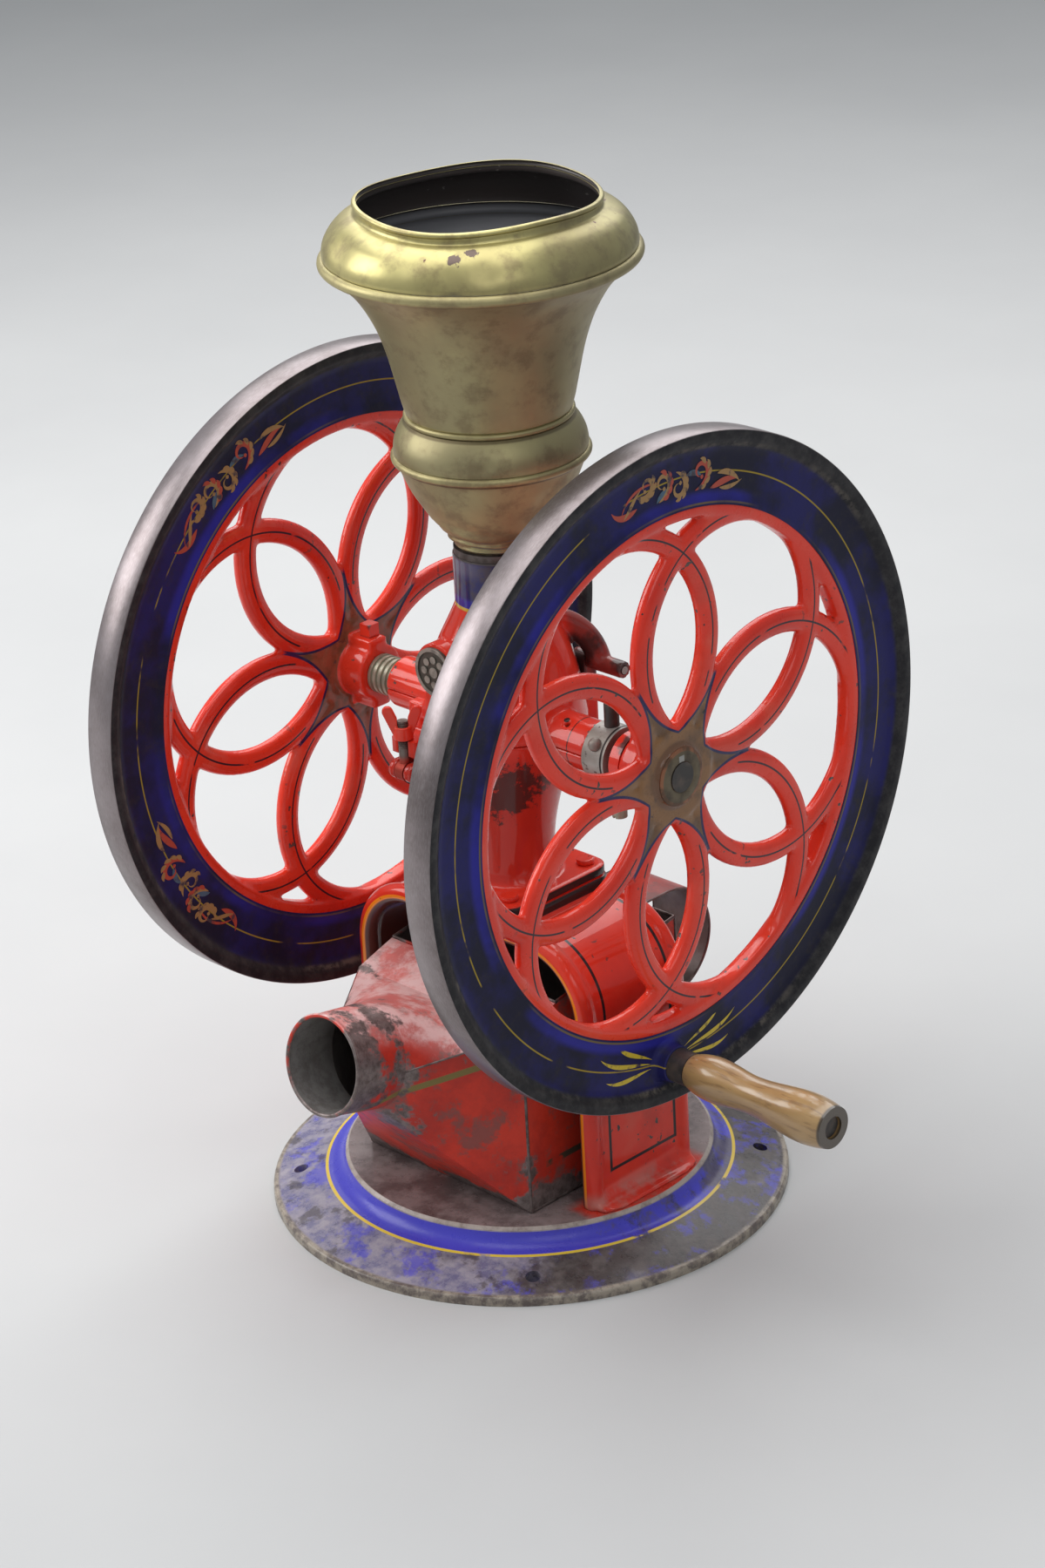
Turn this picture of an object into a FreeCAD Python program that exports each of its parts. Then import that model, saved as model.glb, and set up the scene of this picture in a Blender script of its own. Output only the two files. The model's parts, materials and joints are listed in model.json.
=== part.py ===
import FreeCAD, Part
import math
import os

from FreeCAD import Vector

os.makedirs("parts", exist_ok=True)

# A two-wheel coffee mill, in millimetres. The origin is on the floor, under the middle of the base.
# +X runs along the axle to the wheel with the crank, -Y is the front, where the bin pours, and +Z is up.

# Clearances
running_gap = 0.05        # radial, where a piece turns in or on another
seat_gap = 0.02           # all round, where one piece is fixed inside another
free_gap = 0.5            # between pieces that pass or face each other

# Base plate
base_edge_height = 7.0
base_edge_round = 2.5
shelf_height = 18.0       # foot of the hollow moulding
shelf_width = 42.5
plateau_height = 32.0     # flat top, where the stand and the bin sit
plateau_edge = 2.0
plateau_margin = 10.0     # plateau past the stand's corners
base_wall = 8.0
base_bolt_hole = 11.0
base_bolt_count = 4

# Tunnel-shaped stand; its sizes are to the middle of its walls
tunnel_half_width = 112.5
tunnel_half_length = 47.0
tunnel_height = 233.0
tunnel_corner = 50.0
tunnel_wall = 8.0
bead_radius = 7.5
foot_round = 16.0         # hollow sweep from each wall out to its foot
foot_toe = 2.0            # thickness at the edge of the foot
foot_margin = 3.0         # from the edge of the plateau
foot_end = 4.0            # foot past the middle of the beads
foot_screw_radius = 3.5
foot_screw_grip = 22.0
screw_head_height = 4.0
screw_head_ratio = 1.7    # head radius over shank radius

# Flange that carries the mill on the stand
flange_half_x = 48.0
flange_half_y = 54.0
flange_ear = 14.0
flange_thickness = 8.0
pad_margin = 1.0
pad_rise = 7.5            # pad top above the beads
flange_bolt_radius = 4.0
flange_bolt_grip = 12.0

# Mill casing, split at the height of the axle
axle_height = 378.5
casing_radius = 60.0      # at the split
casing_waist_radius = 31.0
casing_waist_rise = 40.0  # straight foot above the flange
casing_swell = 0.44       # share of the widening that is reached halfway up
casing_wall = 7.0
arm_radius = 19.5         # bearing arms on both sides
arm_left = 106.0
arm_right = 96.0
dome_radius = 48.0
dome_rise = 58.0          # heights above the split
throat_rise = 91.5
collar_rise = 130.5
collar_radius = 32.0
collar_seat = 12.0        # depth that the hopper's neck goes in
feed_radius = 22.0
oil_hole_radius = 2.5
oil_hole_x = 72.0
oil_hole_y = -9.0

# Axle and what runs on it
shaft_radius = 11.0
shaft_past_hub = 1.0
bush_wall = 3.5
bush_nose = 22.0          # right bush, past its arm
thrust_ring_width = 9.0
thrust_ring_radius = 21.0
thrust_ring_stand_off = 4.0
left_collar_radius = 15.0
left_collar_groove = 2.0

# Grinding pieces
worm_radius = 17.0
worm_flight = 3.0
worm_pitch = 20.0
worm_gap = 1.5
worm_end_gap = 12.0       # from the chamber's side wall
burr_radius = 40.0
burr_thickness = 9.0
burr_eye = 18.0
burr_gap = 0.8
burr_side_gap = 1.5
burr_face = 22.0          # fixed burr's grinding face, from the middle plane
burr_teeth = 24
burr_tooth_width = 2.0
burr_tooth_depth = 1.5
burr_window_radius = 4.5
burr_window_circle = 23.0
burr_window_count = 4

# Grind adjuster on the right bush
adjuster_radius = 22.0
lever_radius = 5.5
lever_length = 26.0
lock_screw_radius = 3.0
lock_screw_angle = 35.5   # above the front, in degrees
clamp_screw_radius = 5.5
clamp_screw_length = 26.0
clamp_screw_offset = 4.0  # from the collar's middle, outward
clamp_screw_slot = 1.6

# Flywheels
wheel_radius = 247.5
rim_width = 25.0
rim_depth = 14.5          # of the outer band
rim_middle = 162.0        # from the middle plane to the middle of each rim
web_thickness = 12.6
web_depth = 47.0
ring_count = 6            # overlapping rings that make the petals
ring_reach = 9.4          # middle line of a ring past the web's inner edge
ring_bury = 15.4          # middle line of a ring inside the hub disc's edge
ring_width = 18.6
ring_thickness = 11.0
ring_edge = 0.36          # shape of a ring's section, as shares of its half width and half thickness
ring_shoulder_out = 0.72
ring_shoulder_up = 0.82
ring_flat = 0.3
hub_radius = 21.5
hub_disc_margin = 14.5
hub_nose = 11.0           # hub past the rim's middle, outward
near_wheel_turn = 24.6    # direction of one petal, in degrees from +Y towards +Z
far_wheel_turn = 5.5
set_screw_radius = 4.0
set_screw_head = 10.0
set_screw_boss = 17.0     # width
set_screw_rise = 6.0
hub_screw_inset = 10.0    # screw axis from the hub's inner end
key_size = 6.0
key_length = 26.0

# Crank
crank_inset = 29.5        # crank pin from the wheel's outer edge
crank_turn = -120.0       # direction of the crank from the near wheel's marked petal, in degrees
crank_boss_radius = 13.8
crank_boss_rise = 16.0    # from the rim's middle
crank_pin_radius = 5.5
ferrule_radius = 12.5
ferrule_length = 15.0
grip_length = 131.0
grip_bulb_radius = 16.5
grip_waist_radius = 13.8
grip_barrel_radius = 18.5
grip_end_radius = 15.5
grip_bulb_place = 0.16    # places along the grip, as shares of its length
grip_waist_place = 0.4
grip_barrel_place = 0.84
pin_head_radius = 8.0
pin_head_height = 4.0
pin_head_sunk = 3.0

# Hopper, spun from sheet; its heights are above the collar that carries it
sheet = 1.2
neck_radius = 28.0
neck_rise = 5.0
neck_ring_width = 3.0
bowl_radius = 69.0
bowl_rise = 74.0
bowl_bead = 3.0
waist_radius = 59.0
waist_rise = 104.0
waist_bead = 2.2
bell_radius = 110.0
bell_rise = 218.0
bell_bead = 4.5
mouth_radius = 85.0
mouth_rise = 259.0
mouth_lip = 2.0
mouth_collar = 7.0
bowl_profile = [(0.0, 0.0), (0.24, 0.18), (0.47, 0.38), (0.75, 0.65), (1.0, 1.0)]    # shares out and up
bell_profile = [(0.0, 0.0), (0.1, 0.2), (0.22, 0.43), (0.38, 0.63), (0.63, 0.82), (1.0, 1.0)]
shoulder_fullness = 0.72  # share of the way out and up at the middle of the dome

# Bin that slides in the tunnel; its heights are below the tunnel's roof line
bin_side_gap = 23.5
bin_front = -84.0
bin_back = 80.0
bin_open_front = -48.0
bin_front_drop = 52.0
bin_open_drop = 41.0
bin_back_drop = 21.0
spout_radius = 39.0
spout_mouth_radius = 37.0
spout_length = 45.0
spout_tilt = 13.0
spout_reach = 117.0       # mouth in front of the bin's front edge
spout_drop = 6.0          # mouth below the bin's front edge
spout_lip = 1.6
hood_corner_turn = 65.0   # where the hood's lower corners meet the spout, in degrees below level
handle_half_width = 30.0
handle_radius = 45.0
handle_arm = 52.0         # level run of the strap behind the bin's back wall
handle_drop = 15.5        # top of the strap below the back wall's edge
handle_tab = 10.0

# Medallion
medallion_x = -15.5
medallion_rise = 48.0
medallion_radius = 18.5
medallion_thickness = 3.0
medallion_boss = 21.0
medallion_face = 52.0     # front of its boss, from the middle plane
medallion_edge = 2.6
medallion_petals = 8
medallion_petal_radius = 2.8
medallion_petal_circle = 9.6
medallion_centre = 4.0

# Latch in front; its drops are below the split
latch_x = -47.0
latch_y = -59.0
latch_pin_drop = 35.5
latch_pin_radius = 3.0
swing_bolt_radius = 4.0
swing_bolt_top = 14.0     # bolt past the nut's base
swing_eye_radius = 7.5
swing_eye_width = 8.0
latch_lug_width = 7.0
latch_root = 14.0
ear_drop = 10.5
ear_thickness = 13.0
ear_width = 24.0
ear_throat = 17.5         # riser's front behind the bolt's axis
ear_plate = 10.5
ear_overhang = 1.0
wing_nut_height = 10.0
wing_nut_radius = 7.5
wing_nut_taper = 1.0
wing_turn = 45.0          # direction of the wings at rest, in degrees from +X towards +Y
wing_reach = 14.5
wing_rise = 25.5
wing_width = 8.0
wing_thickness = 4.0

# Hinge at the back
hinge_x = 32.0            # where the lower and upper knuckles meet
hinge_inset = 3.0         # pin inside the casing's radius
hinge_rise = 34.0
hinge_radius = 6.5
hinge_upper_length = 34.0
hinge_lower_length = 14.0
hinge_pin_radius = 3.0
hinge_bar = 18.0
gooseneck_radius = 9.0
gooseneck_root = 0.6      # place of its foot in the collar, as a share of the collar's radius
gooseneck_lean = 0.8      # place of its crest, as a share of the way back to the hinge

# Places that follow from the sizes above
cove_radius = plateau_height - shelf_height
plateau_radius = math.hypot(tunnel_half_width, tunnel_half_length) + bead_radius + plateau_margin
shelf_radius = plateau_radius + cove_radius
base_radius = shelf_radius + shelf_width
base_bolt_radius = shelf_radius + shelf_width / 2
cavity_radius = plateau_radius - base_wall
cavity_height = plateau_height - base_wall
pad_top = tunnel_height + bead_radius + pad_rise
flange_top = pad_top + flange_thickness
casing_waist_height = flange_top + casing_waist_rise
chute_radius = casing_waist_radius - casing_wall
chamber_radius = casing_radius - casing_wall
dome_height = axle_height + dome_rise
throat_height = axle_height + throat_rise
collar_top = axle_height + collar_rise
neck_bottom = collar_top - collar_seat
bush_radius = shaft_radius + bush_wall
bush_end = arm_right + bush_nose
adjuster_start = arm_right + free_gap
adjuster_end = bush_end - free_gap
adjuster_middle = (adjuster_start + adjuster_end) / 2
clamp_screw_x = adjuster_middle + clamp_screw_offset
thrust_start = bush_end + thrust_ring_stand_off
hub_start = thrust_start + thrust_ring_width
hub_end = rim_middle + hub_nose
shaft_end = hub_end + shaft_past_hub
left_collar_start = arm_left + free_gap
turning_burr_end = burr_face - burr_gap
turning_burr_start = turning_burr_end - burr_thickness
fixed_burr_end = burr_face + burr_thickness
burr_house_start = turning_burr_start - burr_side_gap
hub_disc_radius = hub_radius + hub_disc_margin
web_inner_radius = wheel_radius - rim_depth - web_depth
ring_far = web_inner_radius + ring_reach
ring_near = hub_disc_radius - ring_bury
ring_radius = (ring_far - ring_near) / 2
ring_offset = (ring_far + ring_near) / 2
crank_boss_end = rim_middle + crank_boss_rise
crank_radius = wheel_radius - crank_inset
crank_angle = near_wheel_turn + crank_turn
crank_y = crank_radius * math.cos(math.radians(crank_angle))
crank_z = axle_height + crank_radius * math.sin(math.radians(crank_angle))
grip_start = crank_boss_end + ferrule_length + free_gap
grip_end = grip_start + grip_length
bowl_height = collar_top + bowl_rise
waist_height = collar_top + waist_rise
bell_height = collar_top + bell_rise
mouth_height = collar_top + mouth_rise
bin_half_width = tunnel_half_width - tunnel_wall / 2 - bin_side_gap
bin_floor = plateau_height + free_gap
bin_front_height = tunnel_height - bin_front_drop
bin_open_height = tunnel_height - bin_open_drop
bin_back_height = tunnel_height - bin_back_drop
spout_mouth_y = bin_front - spout_reach
spout_mouth_z = bin_front_height - spout_drop
handle_middle = bin_back + handle_arm
handle_height = bin_back_height - handle_drop - handle_radius
medallion_z = axle_height + medallion_rise
latch_pin_height = axle_height - latch_pin_drop
ear_top = axle_height - ear_drop
ear_riser_y = latch_y + ear_throat
wing_base = ear_top + free_gap
hinge_y = casing_radius - hinge_inset
hinge_z = axle_height + hinge_rise


# Shapes used by many pieces

def rod_x(radius, start, end, y=0.0, z=axle_height):
    return Part.makeCylinder(radius, end - start, Vector(start, y, z), Vector(1, 0, 0))


def rod_z(radius, bottom, top, x=0.0, y=0.0):
    return Part.makeCylinder(radius, top - bottom, Vector(x, y, bottom))


def rod_y(radius, start, end, x, z):
    return Part.makeCylinder(radius, end - start, Vector(x, start, z), Vector(0, 1, 0))


def block(low, high):
    size = Vector(*high) - Vector(*low)
    return Part.makeBox(size.x, size.y, size.z, Vector(*low))


def sleeve_x(outer, inner, start, end):
    return rod_x(outer, start, end).cut(rod_x(inner, start, end))


def at(radius, height):
    return Vector(radius, 0, height)


def path(points):
    return [Part.makeLine(a, b) for a, b in zip(points, points[1:])]


def arc(start, middle, end):
    return Part.Arc(start, middle, end).toShape()


def curve(points):
    spline = Part.BSplineCurve()
    spline.interpolate(points)
    return spline.toShape()


def spun(edges):
    face = Part.Face(Part.Wire(Part.__sortEdges__(edges)))
    return face.revolve(Vector(0, 0, 0), Vector(0, 0, 1), 360)


def spun_polygon(points):
    return spun(path(points + points[:1]))


def prism_x(outline, start, end):
    points = [Vector(start, y, z) for y, z in outline]
    face = Part.Face(Part.makePolygon(points + points[:1]))
    return face.extrude(Vector(end - start, 0, 0))


def swept(edges, radius, start, direction):
    pipe = Part.BRepOffsetAPI.MakePipeShell(Part.Wire(edges))
    pipe.add(Part.Wire(Part.makeCircle(radius, start, direction)))
    pipe.setTransitionMode(1)
    pipe.build()
    pipe.makeSolid()
    return pipe.shape()


def rounded_plate(half_x, half_y, corner, bottom, top):
    inner_x = half_x - corner
    inner_y = half_y - corner
    diagonal = corner * math.sqrt(0.5)
    edges = []
    for quarter in range(4):
        turn = FreeCAD.Rotation(Vector(0, 0, 1), 90 * quarter)
        side, run = (inner_x, inner_y) if quarter % 2 == 0 else (inner_y, inner_x)
        start = turn.multVec(Vector(side + corner, -run, 0))
        line_end = turn.multVec(Vector(side + corner, run, 0))
        middle = turn.multVec(Vector(side + diagonal, run + diagonal, 0))
        arc_end = turn.multVec(Vector(side, run + corner, 0))
        edges += [Part.makeLine(start, line_end), arc(line_end, middle, arc_end)]
    plate = Part.Face(Part.Wire(edges)).extrude(Vector(0, 0, top - bottom))
    plate.translate(Vector(0, 0, bottom))
    return plate


def corners(x, y):
    return [(sx * x, sy * y) for sx in (-1, 1) for sy in (-1, 1)]


def below_split(shape):
    box = shape.BoundBox
    return shape.common(block((box.XMin, box.YMin, box.ZMin), (box.XMax, box.YMax, axle_height)))


def above_split(shape):
    box = shape.BoundBox
    return shape.common(block((box.XMin, box.YMin, axle_height), (box.XMax, box.YMax, box.ZMax)))


def save(name, shape):
    solids = shape.Solids
    result = solids[0] if len(solids) == 1 else Part.makeCompound(solids)
    result.exportStep("parts/" + name + ".step")
    volume = round(sum(solid.Volume for solid in solids))
    print(name, len(solids), "solids", volume, "mm3", all(solid.isValid() for solid in solids))


# Base plate: a round casting, hollow beneath, with a sloping shelf and a hollow moulding up to a flat top

def base_plate():
    cove_end = math.sqrt(cove_radius ** 2 - plateau_edge ** 2)
    cove_middle = math.radians(225) + math.asin(plateau_edge / cove_radius) / 2
    moulding = arc(
        at(shelf_radius - cove_end, plateau_height - plateau_edge),
        at(shelf_radius, plateau_height) + at(math.cos(cove_middle), math.sin(cove_middle)) * cove_radius,
        at(shelf_radius, shelf_height))
    round_middle = base_edge_round * (1 - math.sqrt(0.5))
    rim = arc(
        at(base_radius - base_edge_round, base_edge_height),
        at(base_radius - round_middle, base_edge_height - round_middle),
        at(base_radius, base_edge_height - base_edge_round))
    top = path([
        at(0, plateau_height),
        at(plateau_radius - plateau_edge, plateau_height),
        at(shelf_radius - cove_end, plateau_height - plateau_edge)])
    shelf = path([at(shelf_radius, shelf_height), at(base_radius - base_edge_round, base_edge_height)])
    under = path([
        at(base_radius, base_edge_height - base_edge_round), at(base_radius, 0), at(cavity_radius, 0),
        at(cavity_radius, cavity_height), at(0, cavity_height), at(0, plateau_height)])
    plate = spun(top + [moulding] + shelf + [rim] + under)
    for index in range(base_bolt_count):
        angle = math.radians(360 * (index + 0.5) / base_bolt_count)
        x = base_bolt_radius * math.cos(angle)
        y = base_bolt_radius * math.sin(angle)
        plate = plate.cut(rod_z(base_bolt_hole / 2, 0, plateau_height, x, y))
    for x, y in corners(tunnel_half_width, tunnel_half_length):
        plate = plate.cut(rod_z(foot_screw_radius + free_gap / 2, 0, plateau_height, x, y))
    return plate


# Stand: a flat-topped tunnel with round corners and a round bead along both open ends

def tunnel_line(offset, y):
    side = tunnel_half_width + offset
    top = tunnel_height + offset
    corner = tunnel_corner + offset
    diagonal = corner * (1 - math.sqrt(0.5))
    left_foot = Vector(-side, y, plateau_height)
    left_spring = Vector(-side, y, top - corner)
    left_top = Vector(corner - side, y, top)
    right_top = Vector(side - corner, y, top)
    right_spring = Vector(side, y, top - corner)
    right_foot = Vector(side, y, plateau_height)
    return [
        Part.makeLine(left_foot, left_spring),
        arc(left_spring, Vector(diagonal - side, y, top - diagonal), left_top),
        Part.makeLine(left_top, right_top),
        arc(right_top, Vector(side - diagonal, y, top - diagonal), right_spring),
        Part.makeLine(right_spring, right_foot)]


def tunnel_block(offset):
    edges = tunnel_line(offset, -tunnel_half_length)
    foot = Part.makeLine(edges[-1].Vertexes[-1].Point, edges[0].Vertexes[0].Point)
    return Part.Face(Part.Wire(edges + [foot])).extrude(Vector(0, 2 * tunnel_half_length, 0))


def spread_foot(side):
    start = -tunnel_half_length - foot_end
    toe = tunnel_half_width + tunnel_wall / 2 + foot_round
    sunk = tunnel_half_width + tunnel_wall / 4
    reach = toe - sunk
    toe_top = plateau_height + foot_toe
    diagonal = reach * (1 - math.sqrt(0.5))
    low = Vector(side * sunk, start, plateau_height)
    toe_low = Vector(side * toe, start, plateau_height)
    toe_high = Vector(side * toe, start, toe_top)
    sweep_middle = Vector(side * (sunk + diagonal), start, toe_top + diagonal)
    sweep_top = Vector(side * sunk, start, toe_top + reach)
    edges = path([sweep_top, low, toe_low, toe_high]) + [arc(toe_high, sweep_middle, sweep_top)]
    foot = Part.Face(Part.Wire(edges)).extrude(Vector(0, -2 * start, 0))
    return foot.common(rod_z(plateau_radius - foot_margin, plateau_height, tunnel_height))


def stand():
    shape = tunnel_block(tunnel_wall / 2).cut(tunnel_block(-tunnel_wall / 2))
    shape = shape.fuse([spread_foot(-1), spread_foot(1)])
    for y in (-tunnel_half_length, tunnel_half_length):
        foot = Vector(-tunnel_half_width, y, plateau_height)
        shape = shape.fuse(swept(tunnel_line(0, y), bead_radius, foot, Vector(0, 0, 1)))
    pad = rounded_plate(flange_half_x + pad_margin, flange_half_y + pad_margin, flange_ear + pad_margin,
                        tunnel_height, pad_top)
    shape = shape.fuse(pad).cut(rod_z(chute_radius, tunnel_height - tunnel_wall, pad_top))
    for x, y in corners(flange_half_x - flange_ear, flange_half_y - flange_ear):
        shape = shape.cut(rod_z(flange_bolt_radius + seat_gap, pad_top - flange_bolt_grip, pad_top, x, y))
    for x, y in corners(tunnel_half_width, tunnel_half_length):
        hole_top = plateau_height + foot_screw_grip + free_gap
        shape = shape.cut(rod_z(foot_screw_radius + seat_gap, plateau_height, hole_top, x, y))
    return shape


def headed_screw(radius, head_bottom, head_up, tip, x, y):
    head = screw_head_height if head_up else -screw_head_height
    low, high = sorted((head_bottom, head_bottom + head))
    shank_low, shank_high = sorted((head_bottom, tip))
    return rod_z(radius * screw_head_ratio, low, high, x, y).fuse(rod_z(radius, shank_low, shank_high, x, y))


def foot_screws():
    tip = plateau_height + foot_screw_grip
    places = corners(tunnel_half_width, tunnel_half_length)
    screws = [headed_screw(foot_screw_radius, cavity_height, False, tip, x, y) for x, y in places]
    return Part.makeCompound(screws)


def flange_bolts():
    tip = pad_top - flange_bolt_grip + free_gap
    places = corners(flange_half_x - flange_ear, flange_half_y - flange_ear)
    bolts = [headed_screw(flange_bolt_radius, flange_top, True, tip, x, y) for x, y in places]
    return Part.makeCompound(bolts)


# Casing: a lower half bolted to the stand and an upper half with the neck for the hopper

def casing_cavity():
    return spun_polygon([
        at(0, pad_top), at(chute_radius, pad_top), at(chute_radius, casing_waist_height),
        at(chamber_radius, axle_height), at(dome_radius - casing_wall, dome_height),
        at(feed_radius, throat_height), at(feed_radius, neck_bottom),
        at(neck_radius + seat_gap, neck_bottom), at(neck_radius + seat_gap, collar_top), at(0, collar_top)])


def lower_body(grow):
    waist = casing_waist_radius + grow
    split = casing_radius + grow
    foot_top = flange_top + flange_thickness
    middle = (casing_waist_height + axle_height) / 2
    side = curve([
        at(waist, foot_top), at(waist, (foot_top + casing_waist_height) / 2),
        at(waist + (split - waist) * casing_swell, middle), at(split, axle_height)])
    foot = at(waist + flange_thickness / 2, flange_top)
    rest = path([
        at(split, axle_height), at(0, axle_height), at(0, pad_top), at(foot.x, pad_top), foot,
        at(waist, foot_top)])
    return spun([side] + rest)


def upper_body(grow):
    split = casing_radius + grow
    dome = dome_radius + grow
    collar = collar_radius + grow
    side = curve([
        at(split, axle_height), at((split + dome) / 2 + casing_wall / 4, (axle_height + dome_height) / 2),
        at(dome, dome_height), at((dome + collar) / 2, (dome_height + throat_height) / 2),
        at(collar, throat_height)])
    rest = path([
        at(collar, throat_height), at(collar, collar_top), at(0, collar_top), at(0, axle_height),
        at(split, axle_height)])
    return spun([side] + rest)


def bearing_arms():
    return rod_x(arm_radius, -arm_left, arm_right)


def bush_bores():
    left = rod_x(bush_radius + seat_gap, -arm_left, -chamber_radius / 2)
    right = rod_x(bush_radius + seat_gap, fixed_burr_end, arm_right)
    return left.fuse(right)


def burr_seat():
    return rod_x(burr_radius + seat_gap, burr_face, fixed_burr_end)


def cavity_part(start, end, bottom, top):
    low = (start, -casing_radius, bottom)
    return casing_cavity().common(block(low, (end, casing_radius, top)))


def feed_floor():
    floor_bottom = axle_height - worm_radius - worm_gap - casing_wall
    floor = cavity_part(-casing_radius, burr_house_start, floor_bottom, axle_height)
    return floor.cut(rod_x(worm_radius + worm_gap, -casing_radius, burr_house_start))


def lower_burr_wall():
    return cavity_part(burr_face, casing_radius, axle_height - burr_radius - casing_wall, axle_height)


def upper_burr_wall():
    wall = cavity_part(burr_house_start, casing_radius, axle_height, dome_height)
    return wall.cut(rod_x(burr_radius + burr_side_gap, burr_house_start, burr_face))


def latch_lugs():
    half = swing_eye_width / 2 + free_gap / 2
    root_front = latch_y + swing_eye_radius + 4 * free_gap
    low = latch_pin_height - swing_eye_radius
    high = latch_pin_height + swing_eye_radius
    reach = half + latch_lug_width
    root = block((latch_x - reach, root_front, low), (latch_x + reach + latch_root, -latch_root, high))
    shapes = [root]
    for start in (latch_x - reach, latch_x + half):
        end = start + latch_lug_width
        bar = block((start, latch_y, low), (end, root_front, high))
        shapes += [bar, rod_x(swing_eye_radius, start, end, latch_y, latch_pin_height)]
    return shapes


def hinge_bracket():
    start = hinge_x - hinge_lower_length
    low = axle_height - hinge_bar - casing_wall
    back = hinge_y + hinge_radius
    bar = block((start, casing_waist_radius, low), (hinge_x, back, low + hinge_bar))
    post = block((start, hinge_y - hinge_radius, low), (hinge_x, back, hinge_z))
    knuckle = rod_x(hinge_radius, start, hinge_x, hinge_y, hinge_z)
    return [bar, post.fuse(knuckle).cut(upper_body(2 * free_gap))]


def lower_casing():
    flange = rounded_plate(flange_half_x, flange_half_y, flange_ear, pad_top, flange_top)
    shape = lower_body(0).fuse([flange, below_split(bearing_arms())] + latch_lugs() + hinge_bracket())
    shape = shape.cut(casing_cavity()).fuse([feed_floor(), lower_burr_wall()])
    shape = shape.cut(bush_bores()).cut(burr_seat())
    for x, y in corners(flange_half_x - flange_ear, flange_half_y - flange_ear):
        shape = shape.cut(rod_z(flange_bolt_radius + seat_gap, pad_top, flange_top, x, y))
    left = latch_x - swing_eye_width - latch_lug_width
    right = latch_x + swing_eye_width + latch_lug_width
    pin_hole = rod_x(latch_pin_radius + seat_gap, left, right, latch_y, latch_pin_height)
    return shape.cut([pin_hole, hinge_bore(seat_gap)])


def latch_ear():
    back = ear_riser_y + ear_plate
    bottom = ear_top - ear_thickness
    end = latch_y - ear_overhang
    outline = [
        (back, bottom), (end, bottom), (end, ear_top), (ear_riser_y, ear_top),
        (ear_riser_y, axle_height + ear_plate), (back, axle_height + ear_plate)]
    ear = prism_x(outline, latch_x - ear_width / 2, latch_x + ear_width / 2)
    half_slot = swing_bolt_radius + free_gap
    low = bottom - free_gap
    high = ear_top + free_gap
    slot = block((latch_x - half_slot, end - free_gap, low), (latch_x + half_slot, latch_y, high))
    ear = ear.cut(slot).cut(rod_z(half_slot, low, high, latch_x, latch_y))
    return ear.cut(lower_body(2 * free_gap))


def hinge_bore(gap):
    return rod_x(hinge_pin_radius + gap, hinge_x - 2 * hinge_lower_length, hinge_x + 2 * hinge_upper_length,
                 hinge_y, hinge_z)


def gooseneck():
    start = hinge_x + free_gap
    end = hinge_x + hinge_upper_length
    foot = collar_radius * gooseneck_root
    root = Vector(foot, foot, throat_height - 2 * gooseneck_radius)
    tip = Vector(start + gooseneck_radius, hinge_y, hinge_z)
    crest = Vector((root.x + tip.x) / 2, hinge_y * gooseneck_lean, (root.z + tip.z) / 2 + gooseneck_radius)
    bow = arc(root, crest, tip)
    neck = swept([bow], gooseneck_radius, root, bow.tangentAt(bow.FirstParameter))
    beside = block((start - hinge_y, hinge_y - 2 * hinge_radius, hinge_z - hinge_y),
                   (start, 2 * hinge_y, hinge_z + 2 * hinge_radius))
    return neck.cut(beside).fuse(rod_x(hinge_radius, start, end, hinge_y, hinge_z))


def upper_casing():
    boss = rod_y(medallion_boss, -medallion_face, 0, medallion_x, medallion_z)
    shape = upper_body(0).fuse([above_split(bearing_arms()), boss, latch_ear(), gooseneck()])
    shape = shape.cut(casing_cavity()).fuse(upper_burr_wall())
    shape = shape.cut(bush_bores()).cut(burr_seat())
    oil_top = axle_height + 2 * arm_radius
    oil_hole = rod_z(oil_hole_radius, axle_height + bush_radius / 2, oil_top, oil_hole_x, oil_hole_y)
    pocket = rod_y(medallion_radius + seat_gap, -2 * medallion_face, -medallion_face, medallion_x, medallion_z)
    return shape.cut([hinge_bore(running_gap), oil_hole, pocket])


def hinge_pin():
    start = hinge_x - hinge_lower_length - free_gap
    return rod_x(hinge_pin_radius, start, hinge_x + hinge_upper_length + free_gap, hinge_y, hinge_z)


# Latch: a swing bolt on a pin, with a wing nut on the slotted ear

def latch_pin():
    reach = swing_eye_width / 2 + latch_lug_width + free_gap
    return rod_x(latch_pin_radius, latch_x - reach, latch_x + reach, latch_y, latch_pin_height)


def swing_bolt():
    half = swing_eye_width / 2
    eye = rod_x(swing_eye_radius, latch_x - half, latch_x + half, latch_y, latch_pin_height)
    stem = rod_z(swing_bolt_radius, latch_pin_height, wing_base + swing_bolt_top, latch_x, latch_y)
    hole = rod_x(latch_pin_radius + running_gap, latch_x - half, latch_x + half, latch_y, latch_pin_height)
    return eye.fuse(stem).cut(hole)


def wing_blade(side):
    across = Vector(0, wing_thickness, 0)
    low = Vector(latch_x + side * wing_nut_radius / 2, latch_y, wing_base + wing_nut_height / 2) - across / 2
    tip_x = latch_x + side * (wing_reach - wing_width / 2)
    high = Vector(tip_x, latch_y, wing_base + wing_rise - wing_width / 2) - across / 2
    along = (high - low).normalize()
    normal = Vector(-along.z, 0, along.x) * (wing_width / 2)
    outline = [low + normal, high + normal, high - normal, low - normal, low + normal]
    blade = Part.Face(Part.makePolygon(outline)).extrude(across)
    return blade.fuse(Part.makeCylinder(wing_width / 2, wing_thickness, high, Vector(0, 1, 0)))


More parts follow.
